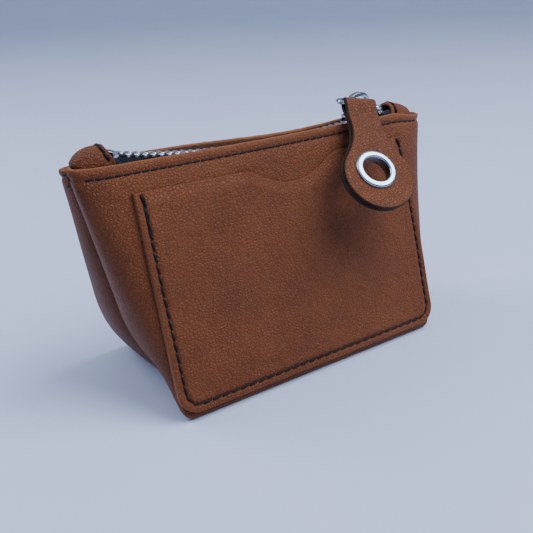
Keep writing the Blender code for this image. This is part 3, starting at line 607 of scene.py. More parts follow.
def card_pocket():
    """The pocket's leather, sewn flat to the wall: rounded edges, a sunk stitch line, a thin slot edge."""
    across = spaced(2 * POCKET_HALF_WIDTH, 4.5 * MM, 0.32 * MM, 0.95 * MM) - POCKET_HALF_WIDTH
    upward = spaced(POCKET_HEIGHT, 4.5 * MM, 0.32 * MM, 0.95 * MM)
    u, v = np.meshgrid(across / POCKET_HALF_WIDTH, upward / POCKET_HEIGHT)
    y = v * pocket_top(u * POCKET_HALF_WIDTH)
    into = np.clip(POCKET_CORNER - y, 0.0, POCKET_CORNER)
    wide = POCKET_HALF_WIDTH - (POCKET_CORNER - np.sqrt(POCKET_CORNER**2 - into**2))
    x = u * wide
    side_gap, foot_gap, head_gap = wide - np.abs(x), y, pocket_top(x) - y
    corner_x, corner_y = np.abs(x) - (POCKET_HALF_WIDTH - POCKET_CORNER), POCKET_CORNER - y
    in_corner = (corner_x > 0) & (corner_y > 0)
    side_gap = np.where(in_corner, POCKET_CORNER - np.hypot(corner_x, corner_y), side_gap)
    sewn_gap = np.minimum(side_gap, np.where(in_corner, side_gap, foot_gap))
    sewn_gap = np.maximum(sewn_gap, 0.0)
    rim_gap = np.minimum(sewn_gap, np.maximum(head_gap, 0.0))
    thick = 1.30 * MM - 0.72 * MM * (1 - smooth(head_gap / (4 * MM))) * smooth(sewn_gap / (3 * MM))
    height = thick - edge_fall(rim_gap, 0.45 * MM)
    stitch = ridge(sewn_gap - POCKET_MARGIN, 0.55 * MM) * smooth(head_gap / (1.5 * MM))
    pucker = 0.5 + 0.5 * np.cos(2 * math.pi * (x + y) / STITCH_PITCH)
    height -= stitch * (0.34 + 0.10 * pucker) * MM
    height += 0.10 * MM * ridge(sewn_gap - POCKET_MARGIN - 1.6 * MM, 0.9 * MM)
    frame_matrix = pocket_frame()
    flat = placed(np.stack([x, y, np.zeros_like(x)], axis=-1), frame_matrix)
    out = np.array(frame_matrix.to_3x3() @ Vector((0, 0, 1)))
    hang = softness(flat, FRONT)
    face = flat + out * (height + hang + 0.10 * MM)[..., None]
    back = flat + out * (hang - 0.15 * MM)[..., None]
    verts = np.concatenate([face.reshape(-1, 3), back.reshape(-1, 3)])
    faces = two_sided_faces(*x.shape)
    wear = np.clip(1.0 - rim_gap / (0.35 * MM), 0.0, 1.0) * np.where(head_gap < sewn_gap, 0.15, 0.8)
    edge = np.concatenate([wear.reshape(-1), np.full(x.size, 0.8)]).astype(np.float32)
    obj = add_piece("card_pocket_leather", verts, faces, [BODY_LEATHER], edge)
    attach(obj, "pouch")
    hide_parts("card_pocket")
    return out


# ---- stitches


def skin(mesh, rings, flip=False):
    """Faces between rings of vertices, and one over each end."""
    for low, high in zip(rings, rings[1:]):
        for k, after in enumerate([*range(1, len(low)), 0]):
            quad = (low[k], high[k], high[after], low[after])
            mesh.faces.new(quad[::-1] if flip else quad)
    mesh.faces.new(rings[0][::-1] if flip else rings[0])
    mesh.faces.new(rings[-1] if flip else rings[-1][::-1])


def stitch_mesh(mesh, start, end, up, radius, rise):
    """One stitch: a short thread that comes up out of its hole, lies on the leather and goes down again."""
    along = end - start
    length = along.length
    along.normalize()
    side = along.cross(up).normalized()
    rings = []
    for t in (0.0, 0.05, 0.14, 0.5, 0.86, 0.95, 1.0):
        arch = max(math.sin(math.pi * t), 0.0) ** 0.35
        height = rise * arch - radius * 1.2 * (1 - arch)
        thick = radius * (0.7 + 0.3 * arch)
        middle = start + along * (length * t) + up * height
        ring = []
        for k in range(8):
            angle = 2 * math.pi * k / 8
            across, above = thick * math.cos(angle), thick * math.sin(angle)
            ring.append(mesh.verts.new(middle + side * across + up * above))
        rings.append(ring)
    skin(mesh, rings)


def stitch_run(name, path, ups, nodes, pitch=STITCH_PITCH, radius=THREAD_RADIUS, skew=0.16 * MM,
               rise=0.12 * MM, body="pouch"):
    """A row of stitches along a path, each a little slanted, as hand-sewn saddle stitches lie."""
    path, ups = np.asarray(path, float), np.asarray(ups, float)
    if ups.ndim == 1:
        ups = np.tile(ups, (len(path), 1))
    lengths = np.concatenate([[0.0], np.cumsum(np.linalg.norm(np.diff(path, axis=0), axis=1))])
    count = max(1, round(lengths[-1] / pitch))
    places = np.linspace(0.0, lengths[-1], count + 1)
    mesh = bmesh.new()

    def between(place, values):
        return Vector([np.interp(place, lengths, values[:, k]) for k in range(3)])

    for a, b in zip(places, places[1:]):
        start, end = between(a, path), between(b, path)
        up = between((a + b) / 2, ups).normalized()
        side = (end - start).cross(up).normalized()
        slant = skew * (1.0 + 0.35 * noise.noise(start / MM))
        stitch_mesh(mesh, start + side * slant, end - side * slant, up, radius, rise)
    obj = mesh_object(name, mesh, THREAD)
    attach(obj, body)
    if nodes:
        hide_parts(*nodes)


def pocket_stitches(out):
    matrix = pocket_frame()
    wide, high = POCKET_HALF_WIDTH - POCKET_MARGIN, POCKET_HEIGHT
    corner = POCKET_CORNER - POCKET_MARGIN
    turn = np.radians(np.linspace(180.0, 270.0, 9))
    left = np.stack([corner - wide + corner * np.cos(turn), POCKET_CORNER + corner * np.sin(turn)], axis=1)
    right = left[::-1] * (-1.0, 1.0)
    down = np.stack([np.full(20, -wide), np.linspace(high - 0.6 * MM, POCKET_CORNER + 1 * MM, 20)], axis=1)
    along = np.linspace(corner - wide, wide - corner, 40)[1:-1]
    bottom = np.stack([along, np.full(len(along), POCKET_MARGIN)], axis=1)
    plan = np.vstack([down, left, bottom, right, down[::-1] * (-1.0, 1.0)])
    flat = placed(np.concatenate([plan, np.zeros((len(plan), 1))], axis=1), matrix)
    flat = flat + np.outer(softness(flat, FRONT) + 1.12 * MM, out)
    stitch_run("pocket_stitches", flat, out, ["pocket_thread"], radius=0.34 * MM, skew=0.26 * MM)
    for name, rows in (("pocket_bartack_left", flat[:5]), ("pocket_bartack_right", flat[-3:])):
        inward = np.array((0.22 * MM if "left" in name else -0.22 * MM, 0.0, 0.0))
        stitch_run(name, rows + inward + out * 0.10 * MM, out, [],
                   pitch=3.4 * MM, radius=0.36 * MM, skew=0.1 * MM)


def hem_stitches(name, side, node, outer, normal):
    """Stitches along the hem, laid on the panel's own face."""
    columns = outer.shape[1]
    path, ups = [], []
    for j in range(columns):
        column = outer[:, j]
        target = lifted(column[-1, 0], RIM_HEIGHT - HEM_DROP, side)
        z = column[:, 2]
        low = int(np.searchsorted(z[20:], target)) + 20
        share = (target - z[low - 1]) / max(z[low] - z[low - 1], 1e-9)
        path.append(column[low - 1] * (1 - share) + column[low] * share)
        ups.append(normal[low, j])
    path, ups = np.array(path), np.array(ups)
    keep = (np.abs(path[:, 0]) < MOUTH_HALF_LENGTH - 3.2 * MM) & (np.abs(path[:, 1]) > 3.9 * MM)
    first, last = np.argmax(keep), len(keep) - np.argmax(keep[::-1])
    stitch_run(name, path[first:last], ups[first:last], [node],
               pitch=2.5 * MM, radius=0.29 * MM, skew=0.07 * MM, rise=0.05 * MM)


def hidden_stitches():
    """The seams inside the pouch, on their seam allowances."""
    for name in ("side_seam_thread_left", "side_seam_thread_right", "base_seam_thread"):
        low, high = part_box(name)
        y = (low.y + high.y) / 2
        if name == "base_seam_thread":
            z = (low.z + high.z) / 2
            path = [(low.x, y, z), (high.x, y, z)]
        else:
            near, far = (high.x, low.x) if low.x < 0 else (low.x, high.x)
            path = [(x - float(drawn_in(x, y, z, BACK)), y, z)
                    for t in np.linspace(0, 1, 12)
                    for x, z in [(near + (far - near) * t, low.z + (high.z - low.z) * t)]]
        stitch_run(name.replace("thread", "stitches"), path, (0.0, -1.0, 0.0), [name])


# ---- zipper


def chain_frame(x):
    swing = math.asin((x - CHAIN_LOW.x) / CHAIN_RADIUS)
    middle = Matrix.Translation(CHAIN_LOW + Vector((0.0, 0.0, CHAIN_RADIUS)))
    return middle @ Matrix.Rotation(-swing, 4, "Y") @ Matrix.Translation((0.0, 0.0, -CHAIN_RADIUS))


def tooth_mesh(mesh, place, side):
    """One pressed tooth: two legs round the cord, a narrow neck and a cupped head."""
    stations = ((2.45, 0.46, 0.62), (2.3, 0.56, 0.82), (1.9, 0.60, 0.92), (1.3, 0.58, 0.98),
                (0.7, 0.44, 1.02), (0.15, 0.40, 1.04), (-0.25, 0.52, 1.04), (-0.6, 0.50, 0.94),
                (-0.82, 0.34, 0.74))
    corners = 10
    rings = []
    for y, half_x, half_z in stations:
        ring = []
        for k in range(corners):
            angle = 2 * math.pi * (k + 0.5) / corners
            c, s = math.cos(angle), math.sin(angle)
            x = half_x * math.copysign(abs(c) ** 0.55, c) * MM
            z = half_z * math.copysign(abs(s) ** 0.55, s) * MM
            ring.append(mesh.verts.new(place @ Vector((x, side * y * MM, z))))
        rings.append(ring)
    skin(mesh, rings, flip=side < 0)


def teeth_row(name, side, node):
    first = LAST_TOOTH_X - (TOOTH_PITCH / 2 if side == BACK else 0.0)
    count = int((LAST_TOOTH_X - CHAIN_START_X) / TOOTH_PITCH)
    mesh = bmesh.new()
    for i in range(count):
        tooth_mesh(mesh, chain_frame(first - i * TOOTH_PITCH), side)
    bmesh.ops.recalc_face_normals(mesh, faces=mesh.faces[:])
    obj = mesh_object(name, mesh, TOOTH_NICKEL)
    obj.data.set_sharp_from_angle(angle=math.radians(50))
    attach(obj, "pouch")
    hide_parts(node)


def tube_mesh(name, points, radius, material, sides=10):
    """A round cord or wire through these points, with rounded ends."""
    points = np.asarray(points, float)
    tangents = np.gradient(points, axis=0)
    tangents /= np.linalg.norm(tangents, axis=1, keepdims=True)
    helper = Vector((0.0, 0.0, 1.0)) if abs(tangents[0][2]) < 0.9 else Vector((1.0, 0.0, 0.0))
    mesh = bmesh.new()
    rings = []
    side = Vector(tangents[0]).cross(helper).normalized()
    for i, (point, tangent) in enumerate(zip(points, tangents)):
        tangent = Vector(tangent)
        side = (side - tangent * side.dot(tangent)).normalized()
        other = tangent.cross(side)
        thick = radius * (0.6 if i in (0, len(points) - 1) else 1.0)
        rings.append([mesh.verts.new(Vector(point) + (side * math.cos(a) + other * math.sin(a)) * thick)
                      for a in np.linspace(0, 2 * math.pi, sides, endpoint=False)])
    for low, high in zip(rings, rings[1:]):
        for k in range(sides):
            mesh.faces.new((low[k], low[(k + 1) % sides], high[(k + 1) % sides], high[k]))
    mesh.faces.new(rings[0][::-1])
    mesh.faces.new(rings[-1])
    return mesh_object(name, mesh, material)


TAPE_PINCH = 1.9 * MM  # how far the tapes' turn comes in under the end tabs
TAPE_SAG = 1.9 * MM  # how far the tapes slope down from the teeth, between the tabs
TAPE_BEND = 0.7 * MM
TAPE_HALF_THICKNESS = 0.16 * MM


def zip_tape(name, side, node):
    """Woven tape: level beside the teeth, then down inside the leather; the cord along its edge is a piece of
    its own.
    """
    columns = []
    for x in np.linspace(-TAPE_HALF_LENGTH, TAPE_HALF_LENGTH, 210):
        height = chain_frame(x).translation.z
        foot = float(rim_height(x, side)) - 8.6 * MM
        pinch = TAPE_PINCH * float(smooth((abs(x) - 47.5 * MM) / (3.0 * MM)))
        turn = inner_depth(x, RIM_HEIGHT) - 0.42 * MM - pinch
        low = height - TAPE_SAG * float(1 - smooth((abs(x) - 46.0 * MM) / (4.0 * MM)))
        ripple = 0.12 * MM * noise.noise(Vector((x / (6 * MM), side * 4.0, 0.0)))
        arc = [(turn - TAPE_BEND * (1 - math.sin(a)), low - TAPE_BEND * (1 - math.cos(a)))
               for a in np.radians((0, 22, 45, 68, 90))]
        slope = (low - height) / max(turn - 2.7 * MM, 1.0 * MM)
        run = [(0.9 * MM, height), (1.5 * MM, height), (2.0 * MM, height)]
        reach = turn - 2.7 * MM
        run += [(2.0 * MM + reach * t, height + slope * reach * t + ripple) for t in (0.25, 0.5, 0.75)]
        run += arc + [(turn, low + (foot - low) * t) for t in (0.25, 0.5, 0.75, 1.0)]
        columns.append([(x, side * y, z) for y, z in run])
    points = np.array(columns).transpose(1, 0, 2)
    normal = grid_normals(points)
    both = np.vstack([points + normal * TAPE_HALF_THICKNESS, (points - normal * TAPE_HALF_THICKNESS)[::-1]])
    faces = folded_faces(*both.shape[:2], turn_far_side=True)
    obj = add_piece(name, both.reshape(-1, 3), faces, [TAPE])
    clean_mesh(obj)
    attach(obj, "pouch")
    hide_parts(node)


def cord(name, side):
    """The cord along the tape's edge, which the teeth are pressed onto."""
    points = [chain_frame(x) @ Vector((0.0, side * 1.75 * MM, 0.0))
              for x in np.linspace(CHAIN_START_X, CHAIN_END_X, 120)]
    obj = tube_mesh(name, [tuple(p) for p in points], 0.55 * MM, TAPE)
    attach(obj, "pouch")


def dress_metal(node, material, width, segments=3):
    """A CAD metal piece keeps its shape and gets softened edges and its plating."""
    obj = frame["nodes"][node]
    obj.data.materials.clear()
    obj.data.materials.append(material)
    weld = obj.modifiers.new("joined", "WELD")
    weld.merge_threshold = 0.001 * MM
    bevel = obj.modifiers.new("softened", "BEVEL")
    bevel.width = width
    bevel.segments = segments
    bevel.limit_method = "ANGLE"
    bevel.angle_limit = math.radians(40)
    obj.data.shade_smooth()
    obj.data.set_sharp_from_angle(angle=math.radians(55))


# ---- end tabs


TAB_RISE = {-1: 5.2 * MM, 1: 3.3 * MM}  # at the left end and the right
TAB_THICKNESS = 1.05 * MM
TAB_STITCH_SHARE = 0.86  # where the stitches cross, from the outer end (0) to the open edge (1)


def tab_place(share):
    outer = MOUTH_HALF_LENGTH - float(crease_depth(RIM_HEIGHT)) - LEATHER - 0.6 * MM
    return outer + (TAB_INNER_X - outer) * share


def tab_section(x, share, count, out=0.0):
    rim = float(min(rim_height(x, FRONT), rim_height(x, BACK)))
    foot = rim - 5.0 * MM
    wide = min(inner_depth(x, rim), inner_depth(x, foot)) - 0.4 * MM + out
    swell = (1.0 - (1.0 - share) ** 3) ** 0.5
    crest = rim + TAB_RISE[-1 if x < 0 else 1] * swell + out
    spring = max(crest - 1.3 * wide, rim - 2.0 * MM)
    points = [(x, -wide, foot + (spring - foot) * t) for t in (0.0, 0.33, 0.66)]
    for angle in np.radians(np.linspace(180.0, 0.0, count)):
        points.append((x, wide * math.cos(angle), spring + (crest - spring) * math.sin(angle)))
    points = np.array(points + [(x, wide, foot + (spring - foot) * t) for t in (0.66, 0.33, 0.0)])
    above = smooth((points[:, 2] - rim + 0.5 * MM) / (2.0 * MM))
    slant = smooth((crest - points[:, 2]) / (5.0 * MM)) * 1.6 * MM * share
    points[:, 0] += math.copysign(1.0, x) * (1.1 * MM * above * (1.0 - share) ** 2 - slant)
    return points


def end_tab(name, end, node):
    """A scrap of leather folded over the zipper's end, swollen like a sausage, with a raw open edge."""
    shares = np.concatenate([[0.0, 0.015, 0.04, 0.08], np.linspace(0.13, 0.97, 26), [0.985, 1.0]])
    rows = np.array([tab_section(end * tab_place(s), s, 29) for s in shares])
    normal = grid_normals(rows)
    if normal[10, 17, 2] < 0:
        normal = -normal
    swell = wander(rows, 7 * MM, 4 + end) * 0.22 * MM
    groove = 0.28 * MM * ridge((shares - TAB_STITCH_SHARE) * 8 * MM, 0.5 * MM)
    rows = rows + normal * (swell - groove[:, None])[..., None]
    inner = rows[::-1] - normal[::-1] * TAB_THICKNESS
    lip = rows[-1] - normal[-1] * 0.5 * MM + np.array((-end * 0.22 * MM, 0.0, 0.0))
    sheet = np.vstack([rows, lip[None], inner])
    edge = np.zeros(sheet.shape[:2], np.float32)
    edge[len(rows) - 1] = 0.5
    edge[len(rows)] = 0.9
    edge[len(rows) + 1] = 0.6
    faces = folded_faces(*sheet.shape[:2])
    obj = add_piece(name, sheet.reshape(-1, 3), faces, [BODY_LEATHER], edge.reshape(-1))
    clean_mesh(obj)
    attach(obj, "pouch")
    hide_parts(node)


def tab_stitches(name, end, node):
    x = end * tab_place(TAB_STITCH_SHARE)
    arch = tab_section(x, TAB_STITCH_SHARE, 29, 0.02 * MM)
    arch = arch[arch[:, 2] > float(rim_height(x, FRONT)) + 0.2 * MM]
    middle = np.array((x, 0.0, arch[:, 2].max() - 5 * MM))
    ups = arch - middle
    ups[:, 0] = 0.0
    ups /= np.linalg.norm(ups, axis=1, keepdims=True)
    stitch_run(name, arch, ups, [node], pitch=2.3 * MM, radius=0.42 * MM)


def corner_loops():
    """Thread whipped over the top of each side seam, where the two panels meet."""
    for end, name in ((-1, "left"), (1, "right")):
        for step, drop in enumerate((1.4, 4.6)):
            z = float(min(rim_height(end * MOUTH_HALF_LENGTH, side) for side in (FRONT, BACK))) - drop * MM
            x = end * (half_length(min(z, RIM_HEIGHT)) - 0.5 * MM)
            reach = 2.6 * MM
            points = [(x - end * 1.2 * MM, -reach, z - 0.4 * MM), (x + end * 0.15 * MM, -reach * 0.62, z),
                      (x - end * 0.35 * MM, 0.0, z + 0.2 * MM), (x + end * 0.15 * MM, reach * 0.62, z),
                      (x - end * 1.2 * MM, reach, z - 0.4 * MM)]
            obj = tube_mesh(f"corner_loop_{name}_{step}", smooth_points(points), 0.34 * MM, THREAD)
            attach(obj, "pouch")


# ---- ring, fob and eyelet

FOB_LAYER = 1.1 * MM
FOB_NECK = 5.0 * MM
FOB_HEAD = 11.0 * MM
FOB_HEAD_AT = 25.5 * MM
FOB_SHOULDER = 21.0 * MM
EYELET_AT = 23.8 * MM
EYELET_RADIUS = 6.3 * MM
EYELET_BORE = 4.2 * MM
EYELET_FACE = 1.22  # mm, from the middle of the strap to its face
FOB_CLOSES = 5.0 * MM  # where the two layers lie together
FOB_SHIFT_FRONT, FOB_SHIFT_BACK = 0.85, 0.25  # mm, sideways at the head
RING_HALF_WIDTH = 6.4 * MM
RING_CORNER = 1.3 * MM
RING_DEPTH = 10.0 * MM
RING_SHIFT = 0.55 * MM


def at_bar(tilt):
    """The frame of a piece on the ring's bar, tipped by this angle."""
    turn = Matrix.Rotation(FOB_YAW, 4, "Z") @ Matrix.Rotation(tilt, 4, "X")
    return Matrix.Translation(BAR_MIDDLE) @ (turn @ Matrix.Rotation(FOB_ROLL, 4, "Y"))


def fob_half_width(distance):
    """Half width of the keyhole outline at this distance down from the bar."""
    reach = math.sqrt((FOB_HEAD + FOB_SHOULDER) ** 2 - (FOB_NECK + FOB_SHOULDER) ** 2)
    shoulder_at = FOB_HEAD_AT - reach
    meet = FOB_HEAD_AT - reach * FOB_HEAD / (FOB_HEAD + FOB_SHOULDER)
    if distance < shoulder_at:
        return FOB_NECK
    if distance < meet:
        return FOB_NECK + FOB_SHOULDER - math.sqrt(FOB_SHOULDER**2 - (distance - shoulder_at) ** 2)
    return math.sqrt(max(FOB_HEAD**2 - (distance - FOB_HEAD_AT) ** 2, 0.0))


def fob_layer_profile():
    """The strip's middle line, from front tip over the bar to back tip, as (distance down, height)."""
    level = 0.02 * MM + FOB_LAYER / 2
    fold = RING_WIRE + 0.25 * MM + FOB_LAYER / 2
    turn = FOB_HEAD_AT - np.cos(np.linspace(0.0, math.pi, 46)) * FOB_HEAD
    downs = list(np.linspace(FOB_CLOSES, FOB_HEAD_AT - FOB_HEAD, 12)[:-1]) + list(turn)
    front = [(d, level) for d in reversed(downs)]
    front += [(d, level + (fold - level) * float(smooth((FOB_CLOSES - d) / FOB_CLOSES)))
              for d in (4.0 * MM, 3.0 * MM, 2.0 * MM, 1.0 * MM)]
    round_bar = [(-fold * math.sin(a), fold * math.cos(a)) for a in np.radians(np.linspace(0, 180, 13))]
    back = [(d, -h) for d, h in reversed(front)]
    return np.array(front + round_bar + back)


def fob_strap():
    """The folded strip: two layers to one keyhole outline, with burnished dark cut edges."""
    profile = fob_layer_profile()
    tangents = np.gradient(profile, axis=0)
    tangents /= np.maximum(np.linalg.norm(tangents, axis=1, keepdims=True), 1e-12)
    normals = np.stack([-tangents[:, 1], tangents[:, 0]], axis=1)
    shares = np.concatenate([np.linspace(-1, -0.9, 5)[:-1], np.linspace(-0.9, 0.9, 27),
                             np.linspace(0.9, 1, 5)[1:]])
    outward = 1 if normals[20, 1] > 0 else -1
    layers = {}
    for sign in (1, -1):
        rows = []
        for (down, height), normal in zip(profile, normals):
            half = max(fob_half_width(down), 0.02 * MM)
            x = shares * half
            outline_gap = half - np.abs(x)
            if down > FOB_HEAD_AT - 4 * MM:
                outline_gap = np.maximum(FOB_HEAD - np.hypot(x, down - FOB_HEAD_AT), 0.0)
            fall = edge_fall(outline_gap, 0.32 * MM) if sign == outward else 0.0
            half_thick = FOB_LAYER / 2 - fall
            wave = 0.18 * MM * math.sin(down / (9 * MM) + 0.6)
            y = -(down + normal[0] * sign * half_thick)
            z = height + normal[1] * sign * half_thick + wave * (down > 6 * MM)
            shift = (FOB_SHIFT_FRONT if height > 0 else FOB_SHIFT_BACK) * MM * float(smooth(down / (14 * MM)))
            rows.append(np.stack(np.broadcast_arrays(x + shift, y, z), axis=1))
        layers[sign] = np.array(rows)
    top, low = layers[1], layers[-1]
    rows, columns = top.shape[:2]
    verts = placed(np.concatenate([top.reshape(-1, 3), low.reshape(-1, 3)]), at_bar(FOB_DROP))
    faces = two_sided_faces(rows, columns)
    edge = np.zeros((2, rows, columns), np.float32)
    for i, (down, _) in enumerate(profile):
        half = fob_half_width(down) if down > 0 else FOB_NECK
        gap = half * (1 - np.abs(shares))
        if down > FOB_HEAD_AT - 4 * MM:
            gap = np.maximum(FOB_HEAD - np.hypot(shares * half, down - FOB_HEAD_AT), 0.0)
        edge[:, i] = np.clip(1.4 - gap / (0.25 * MM), 0.0, 1.0)
        edge[1 if outward == 1 else 0, i] = np.clip(5.0 - gap / (0.25 * MM), 0.0, 1.0)
    obj = add_piece("fob_leather_strap", verts, faces, [FOB_LEATHER], edge.reshape(-1))
    clean_mesh(obj)
    punch_hole(obj)
    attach(obj, "fob")
    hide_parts("fob_strap")


def punch_hole(obj):
    """Cut the eyelet's hole through both layers."""
    mesh = bmesh.new()
    place = at_bar(FOB_DROP) @ Matrix.Translation((0.0, -EYELET_AT, 0.0))
    radius = EYELET_BORE + 0.75 * MM
    bmesh.ops.create_cone(mesh, cap_ends=True, segments=64, radius1=radius, radius2=radius,
                          depth=12 * MM, matrix=place)
    cutter = mesh_object("punch", mesh)
    cut = obj.modifiers.new("hole", "BOOLEAN")
    cut.object = cutter
    cut.operation = "DIFFERENCE"
    cut.solver = "EXACT"
    bpy.context.view_layer.update()
    evaluated = obj.evaluated_get(bpy.context.evaluated_depsgraph_get())
    result = bpy.data.meshes.new_from_object(evaluated)
    obj.modifiers.remove(cut)
    obj.data = result
    bpy.data.objects.remove(cutter, do_unlink=True)


def lathe(name, profile, place, material, body, node, steps=96):
    """A turned ring from a closed profile of (radius, height) points in millimetres."""
    angles = np.linspace(0, 2 * math.pi, steps, endpoint=False)
    rows = [[(r * MM * math.cos(a), r * MM * math.sin(a), z * MM) for a in angles] for r, z in profile]
    points = np.array(rows + rows[:1]).reshape(-1, 3)
    points = placed(points, place)
    faces = grid_faces(len(profile) + 1, steps, closed=True)
    obj = add_piece(name, points, faces, [material])
    clean_mesh(obj, 0.0005 * MM)
    obj.data.shade_smooth()
    obj.data.set_sharp_from_angle(angle=math.radians(60))
    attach(obj, body)
    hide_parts(node)


def rounded(points, radius, steps=4):
    """A closed profile with its corners rounded."""
    points = np.array(points)
    out = []
    for before, here, after in zip(np.roll(points, 1, 0), points, np.roll(points, -1, 0)):
        a, b = before - here, after - here
        limit = min(radius, np.linalg.norm(a) * 0.45, np.linalg.norm(b) * 0.45)
        start, end = here + a / np.linalg.norm(a) * limit, here + b / np.linalg.norm(b) * limit
        for t in np.linspace(0, 1, steps + 1):
            out.append(tuple((1 - t) ** 2 * start + 2 * (1 - t) * t * here + t**2 * end))
    return out


def eyelet_pieces():
    place = at_bar(FOB_DROP) @ Matrix.Translation((0.0, -EYELET_AT, 0.0))
    face = EYELET_FACE
    bore, rim = EYELET_BORE / MM, EYELET_RADIUS / MM
    top = [(rim, face), (rim - 0.12, face + 0.34), (rim - 0.6, face + 0.56), (bore + 0.4, face + 0.66),
           (bore, face + 0.25), (bore, -face - 0.5), (bore + 0.45, -face - 0.5), (bore + 0.45, face)]
    lathe("eyelet_flange", rounded(top, 0.22), place, EYELET_NICKEL_PAINTED_SKY, "fob", "eyelet")
    washer = [(bore + 0.55, -face), (bore + 0.55, -face - 0.45), (rim - 0.2, -face - 0.55), (rim, -face)]
    lathe("eyelet_backing", rounded(washer, 0.18), place, NICKEL, "fob", "eyelet_washer")


def pull_ring():
    """The D-ring: a round wire with a straight bar, which the fob hangs on, and an arch under the crown."""
    wide, corner, depth, shift = RING_HALF_WIDTH, RING_CORNER, RING_DEPTH, RING_SHIFT
    path = [(shift + wide * math.cos(a), corner + (depth - corner) * math.sin(a))
            for a in np.radians(np.linspace(0, 180, 41))]
    path += [(shift - wide + corner * (1 - math.cos(a)), corner * (1 - math.sin(a)))
             for a in np.radians(np.linspace(15, 90, 6))]
    path += [(shift + x * MM, 0.0) for x in (-3.0, 0.0, 3.0)]
    path += [(shift + wide - corner * (1 - math.sin(a)), corner * (1 - math.cos(a)))
             for a in np.radians(np.linspace(0, 90, 7))]
    place = at_bar(RING_TILT)
    points = [tuple(place @ Vector((x, y, 0.0))) for x, y in path]
    obj = tube_mesh("ring_wire", points, RING_WIRE, RING_NICKEL, sides=16)
    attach(obj, "ring")
    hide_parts("pull_ring")


# ---- stage


FLOOR_FLAT = 1.2  # metres, out to where the floor starts to turn up
FLOOR_BEND = 0.7


def make_floor():
    """A pale floor whose far edge turns up all round, so that every view has the same plain ground."""
    profile = [(0.02, 0.0), (0.4, 0.0), (FLOOR_FLAT, 0.0)]
    profile += [(FLOOR_FLAT + FLOOR_BEND * math.sin(a), FLOOR_BEND - FLOOR_BEND * math.cos(a))
                for a in np.radians(np.linspace(9, 90, 10))]
    profile.append((1.9, 1.1))
    angles = np.linspace(0, 2 * math.pi, 72, endpoint=False)
    points = [(r * math.cos(a), r * math.sin(a), z) for r, z in profile for a in angles]
    faces = grid_faces(len(profile), len(angles), closed=True)
    faces.append(tuple(range(len(angles))))
    obj = add_piece("floor", points, faces, [])
    s = Shader("floor", roughness=0.75)
    mottle = s.noise(60 * MM, 2.0)
    s.link(s.ramp(mottle, (0.3, (0.46, 0.52, 0.72)), (0.7, (0.48, 0.54, 0.74))), "Base Color")
    obj.data.materials.append(s.material)


CAMERA_YAW = math.radians(35.09)
CAMERA_PITCH = math.radians(21.8)
CAMERA_ROLL = math.radians(-2.16)
CAMERA_DISTANCE = 248.1 * MM
CAMERA_AIM = Vector((0.1, 0.0, 25.26)) * MM
FOCAL_LENGTH = 54.05  # on Blender's 36 mm sensor


def make_camera():
    yaw, pitch, roll = CAMERA_YAW, CAMERA_PITCH, CAMERA_ROLL
    forward = Vector((math.sin(yaw) * math.cos(pitch), math.cos(yaw) * math.cos(pitch), -math.sin(pitch)))
    level = Vector((math.cos(yaw), -math.sin(yaw), 0.0))
    upward = level.cross(forward)
    right = level * math.cos(roll) + upward * math.sin(roll)
    data = bpy.data.cameras.new("camera")
    data.lens = FOCAL_LENGTH
    data.clip_start = 0.01
    camera = add_object("camera", data)
    up = forward.cross(right) * -1.0
    turn = Matrix((right, up, -forward)).transposed()
    camera.matrix_world = Matrix.Translation(CAMERA_AIM - forward * CAMERA_DISTANCE) @ turn.to_4x4()
    bpy.context.scene.camera = camera


def area_light(name, place, target, size, power, colour):
    data = bpy.data.lights.new(name, "AREA")
    data.shape = "DISK"
    data.size = size
    data.energy = power
    data.color = colour
    lamp = add_object(name, data)
    lamp.location = place
    lamp.rotation_mode = "QUATERNION"
    lamp.rotation_quaternion = (Vector(target) - Vector(place)).to_track_quat("-Z", "Y")


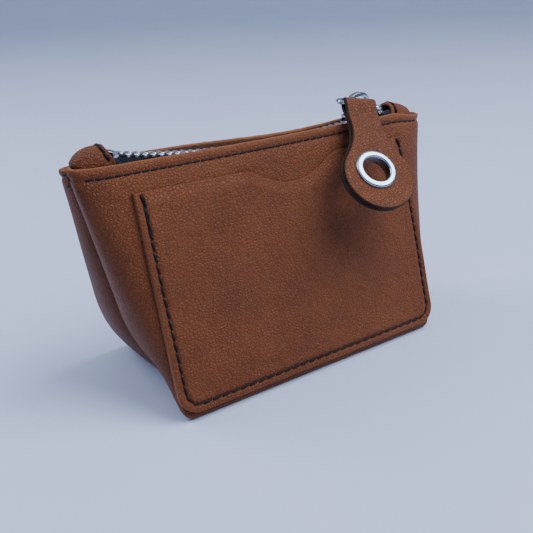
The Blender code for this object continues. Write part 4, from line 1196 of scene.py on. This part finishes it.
def make_sky():
    """A sky that is bright overhead and dark along the horizon, so that the metal has something to mirror."""
    world = bpy.data.worlds.new("sky")
    world.use_nodes = True
    nodes, links = world.node_tree.nodes, world.node_tree.links
    direction = nodes.new("ShaderNodeTexCoord")
    split = nodes.new("ShaderNodeSeparateXYZ")
    ramp = nodes.new("ShaderNodeValToRGB")
    ramp.color_ramp.elements[0].position = 0.25
    ramp.color_ramp.elements[0].color = (0.05, 0.055, 0.07, 1.0)
    ramp.color_ramp.elements[1].position = 0.85
    ramp.color_ramp.elements[1].color = (0.80, 0.90, 1.10, 1.0)
    links.new(direction.outputs["Generated"], split.inputs["Vector"])
    links.new(split.outputs["Z"], ramp.inputs["Fac"])
    links.new(ramp.outputs["Color"], nodes["Background"].inputs["Color"])
    nodes["Background"].inputs["Strength"].default_value = 0.8
    bpy.context.scene.world = world


def make_lights():
    make_sky()
    area_light("window", (0.315, -0.36, 0.73), (0.0, 0.0, 0.03), 0.75, 11.0, (0.90, 0.95, 1.0))
    area_light("back", (-0.40, 0.50, 0.55), (0.0, 0.0, 0.03), 0.5, 4.0, (0.90, 0.94, 1.0))


# ---- build


def main():
    for side, word in ((FRONT, "front"), (BACK, "back")):
        outer, normal = panel(word + "_leather", side, word + "_panel")
        hem_stitches("hem_stitches_" + word, side, "hem_thread_" + word, outer, normal)
    pocket_stitches(card_pocket())
    hidden_stitches()
    for end, word in ((-1, "left"), (1, "right")):
        end_tab("end_tab_leather_" + word, end, "zip_end_tab_" + word)
        tab_stitches("tab_stitches_" + word, end, "tab_thread_" + word)
    corner_loops()
    for side, word in ((FRONT, "front"), (BACK, "back")):
        zip_tape("woven_tape_" + word, side, "zip_tape_" + word)
        teeth_row("teeth_" + word, side, "zip_teeth_" + word)
        cord("tape_cord_" + word, side)
    for node, width in (("top_stop_front", 0.2), ("top_stop_back", 0.2), ("bottom_stop", 0.25),
                        ("slider_body", 0.22), ("slider_crown", 0.22)):
        dress_metal(node, NICKEL, width * MM)
    pull_ring()
    fob_strap()
    eyelet_pieces()
    make_camera()
    make_floor()
    make_lights()


main()
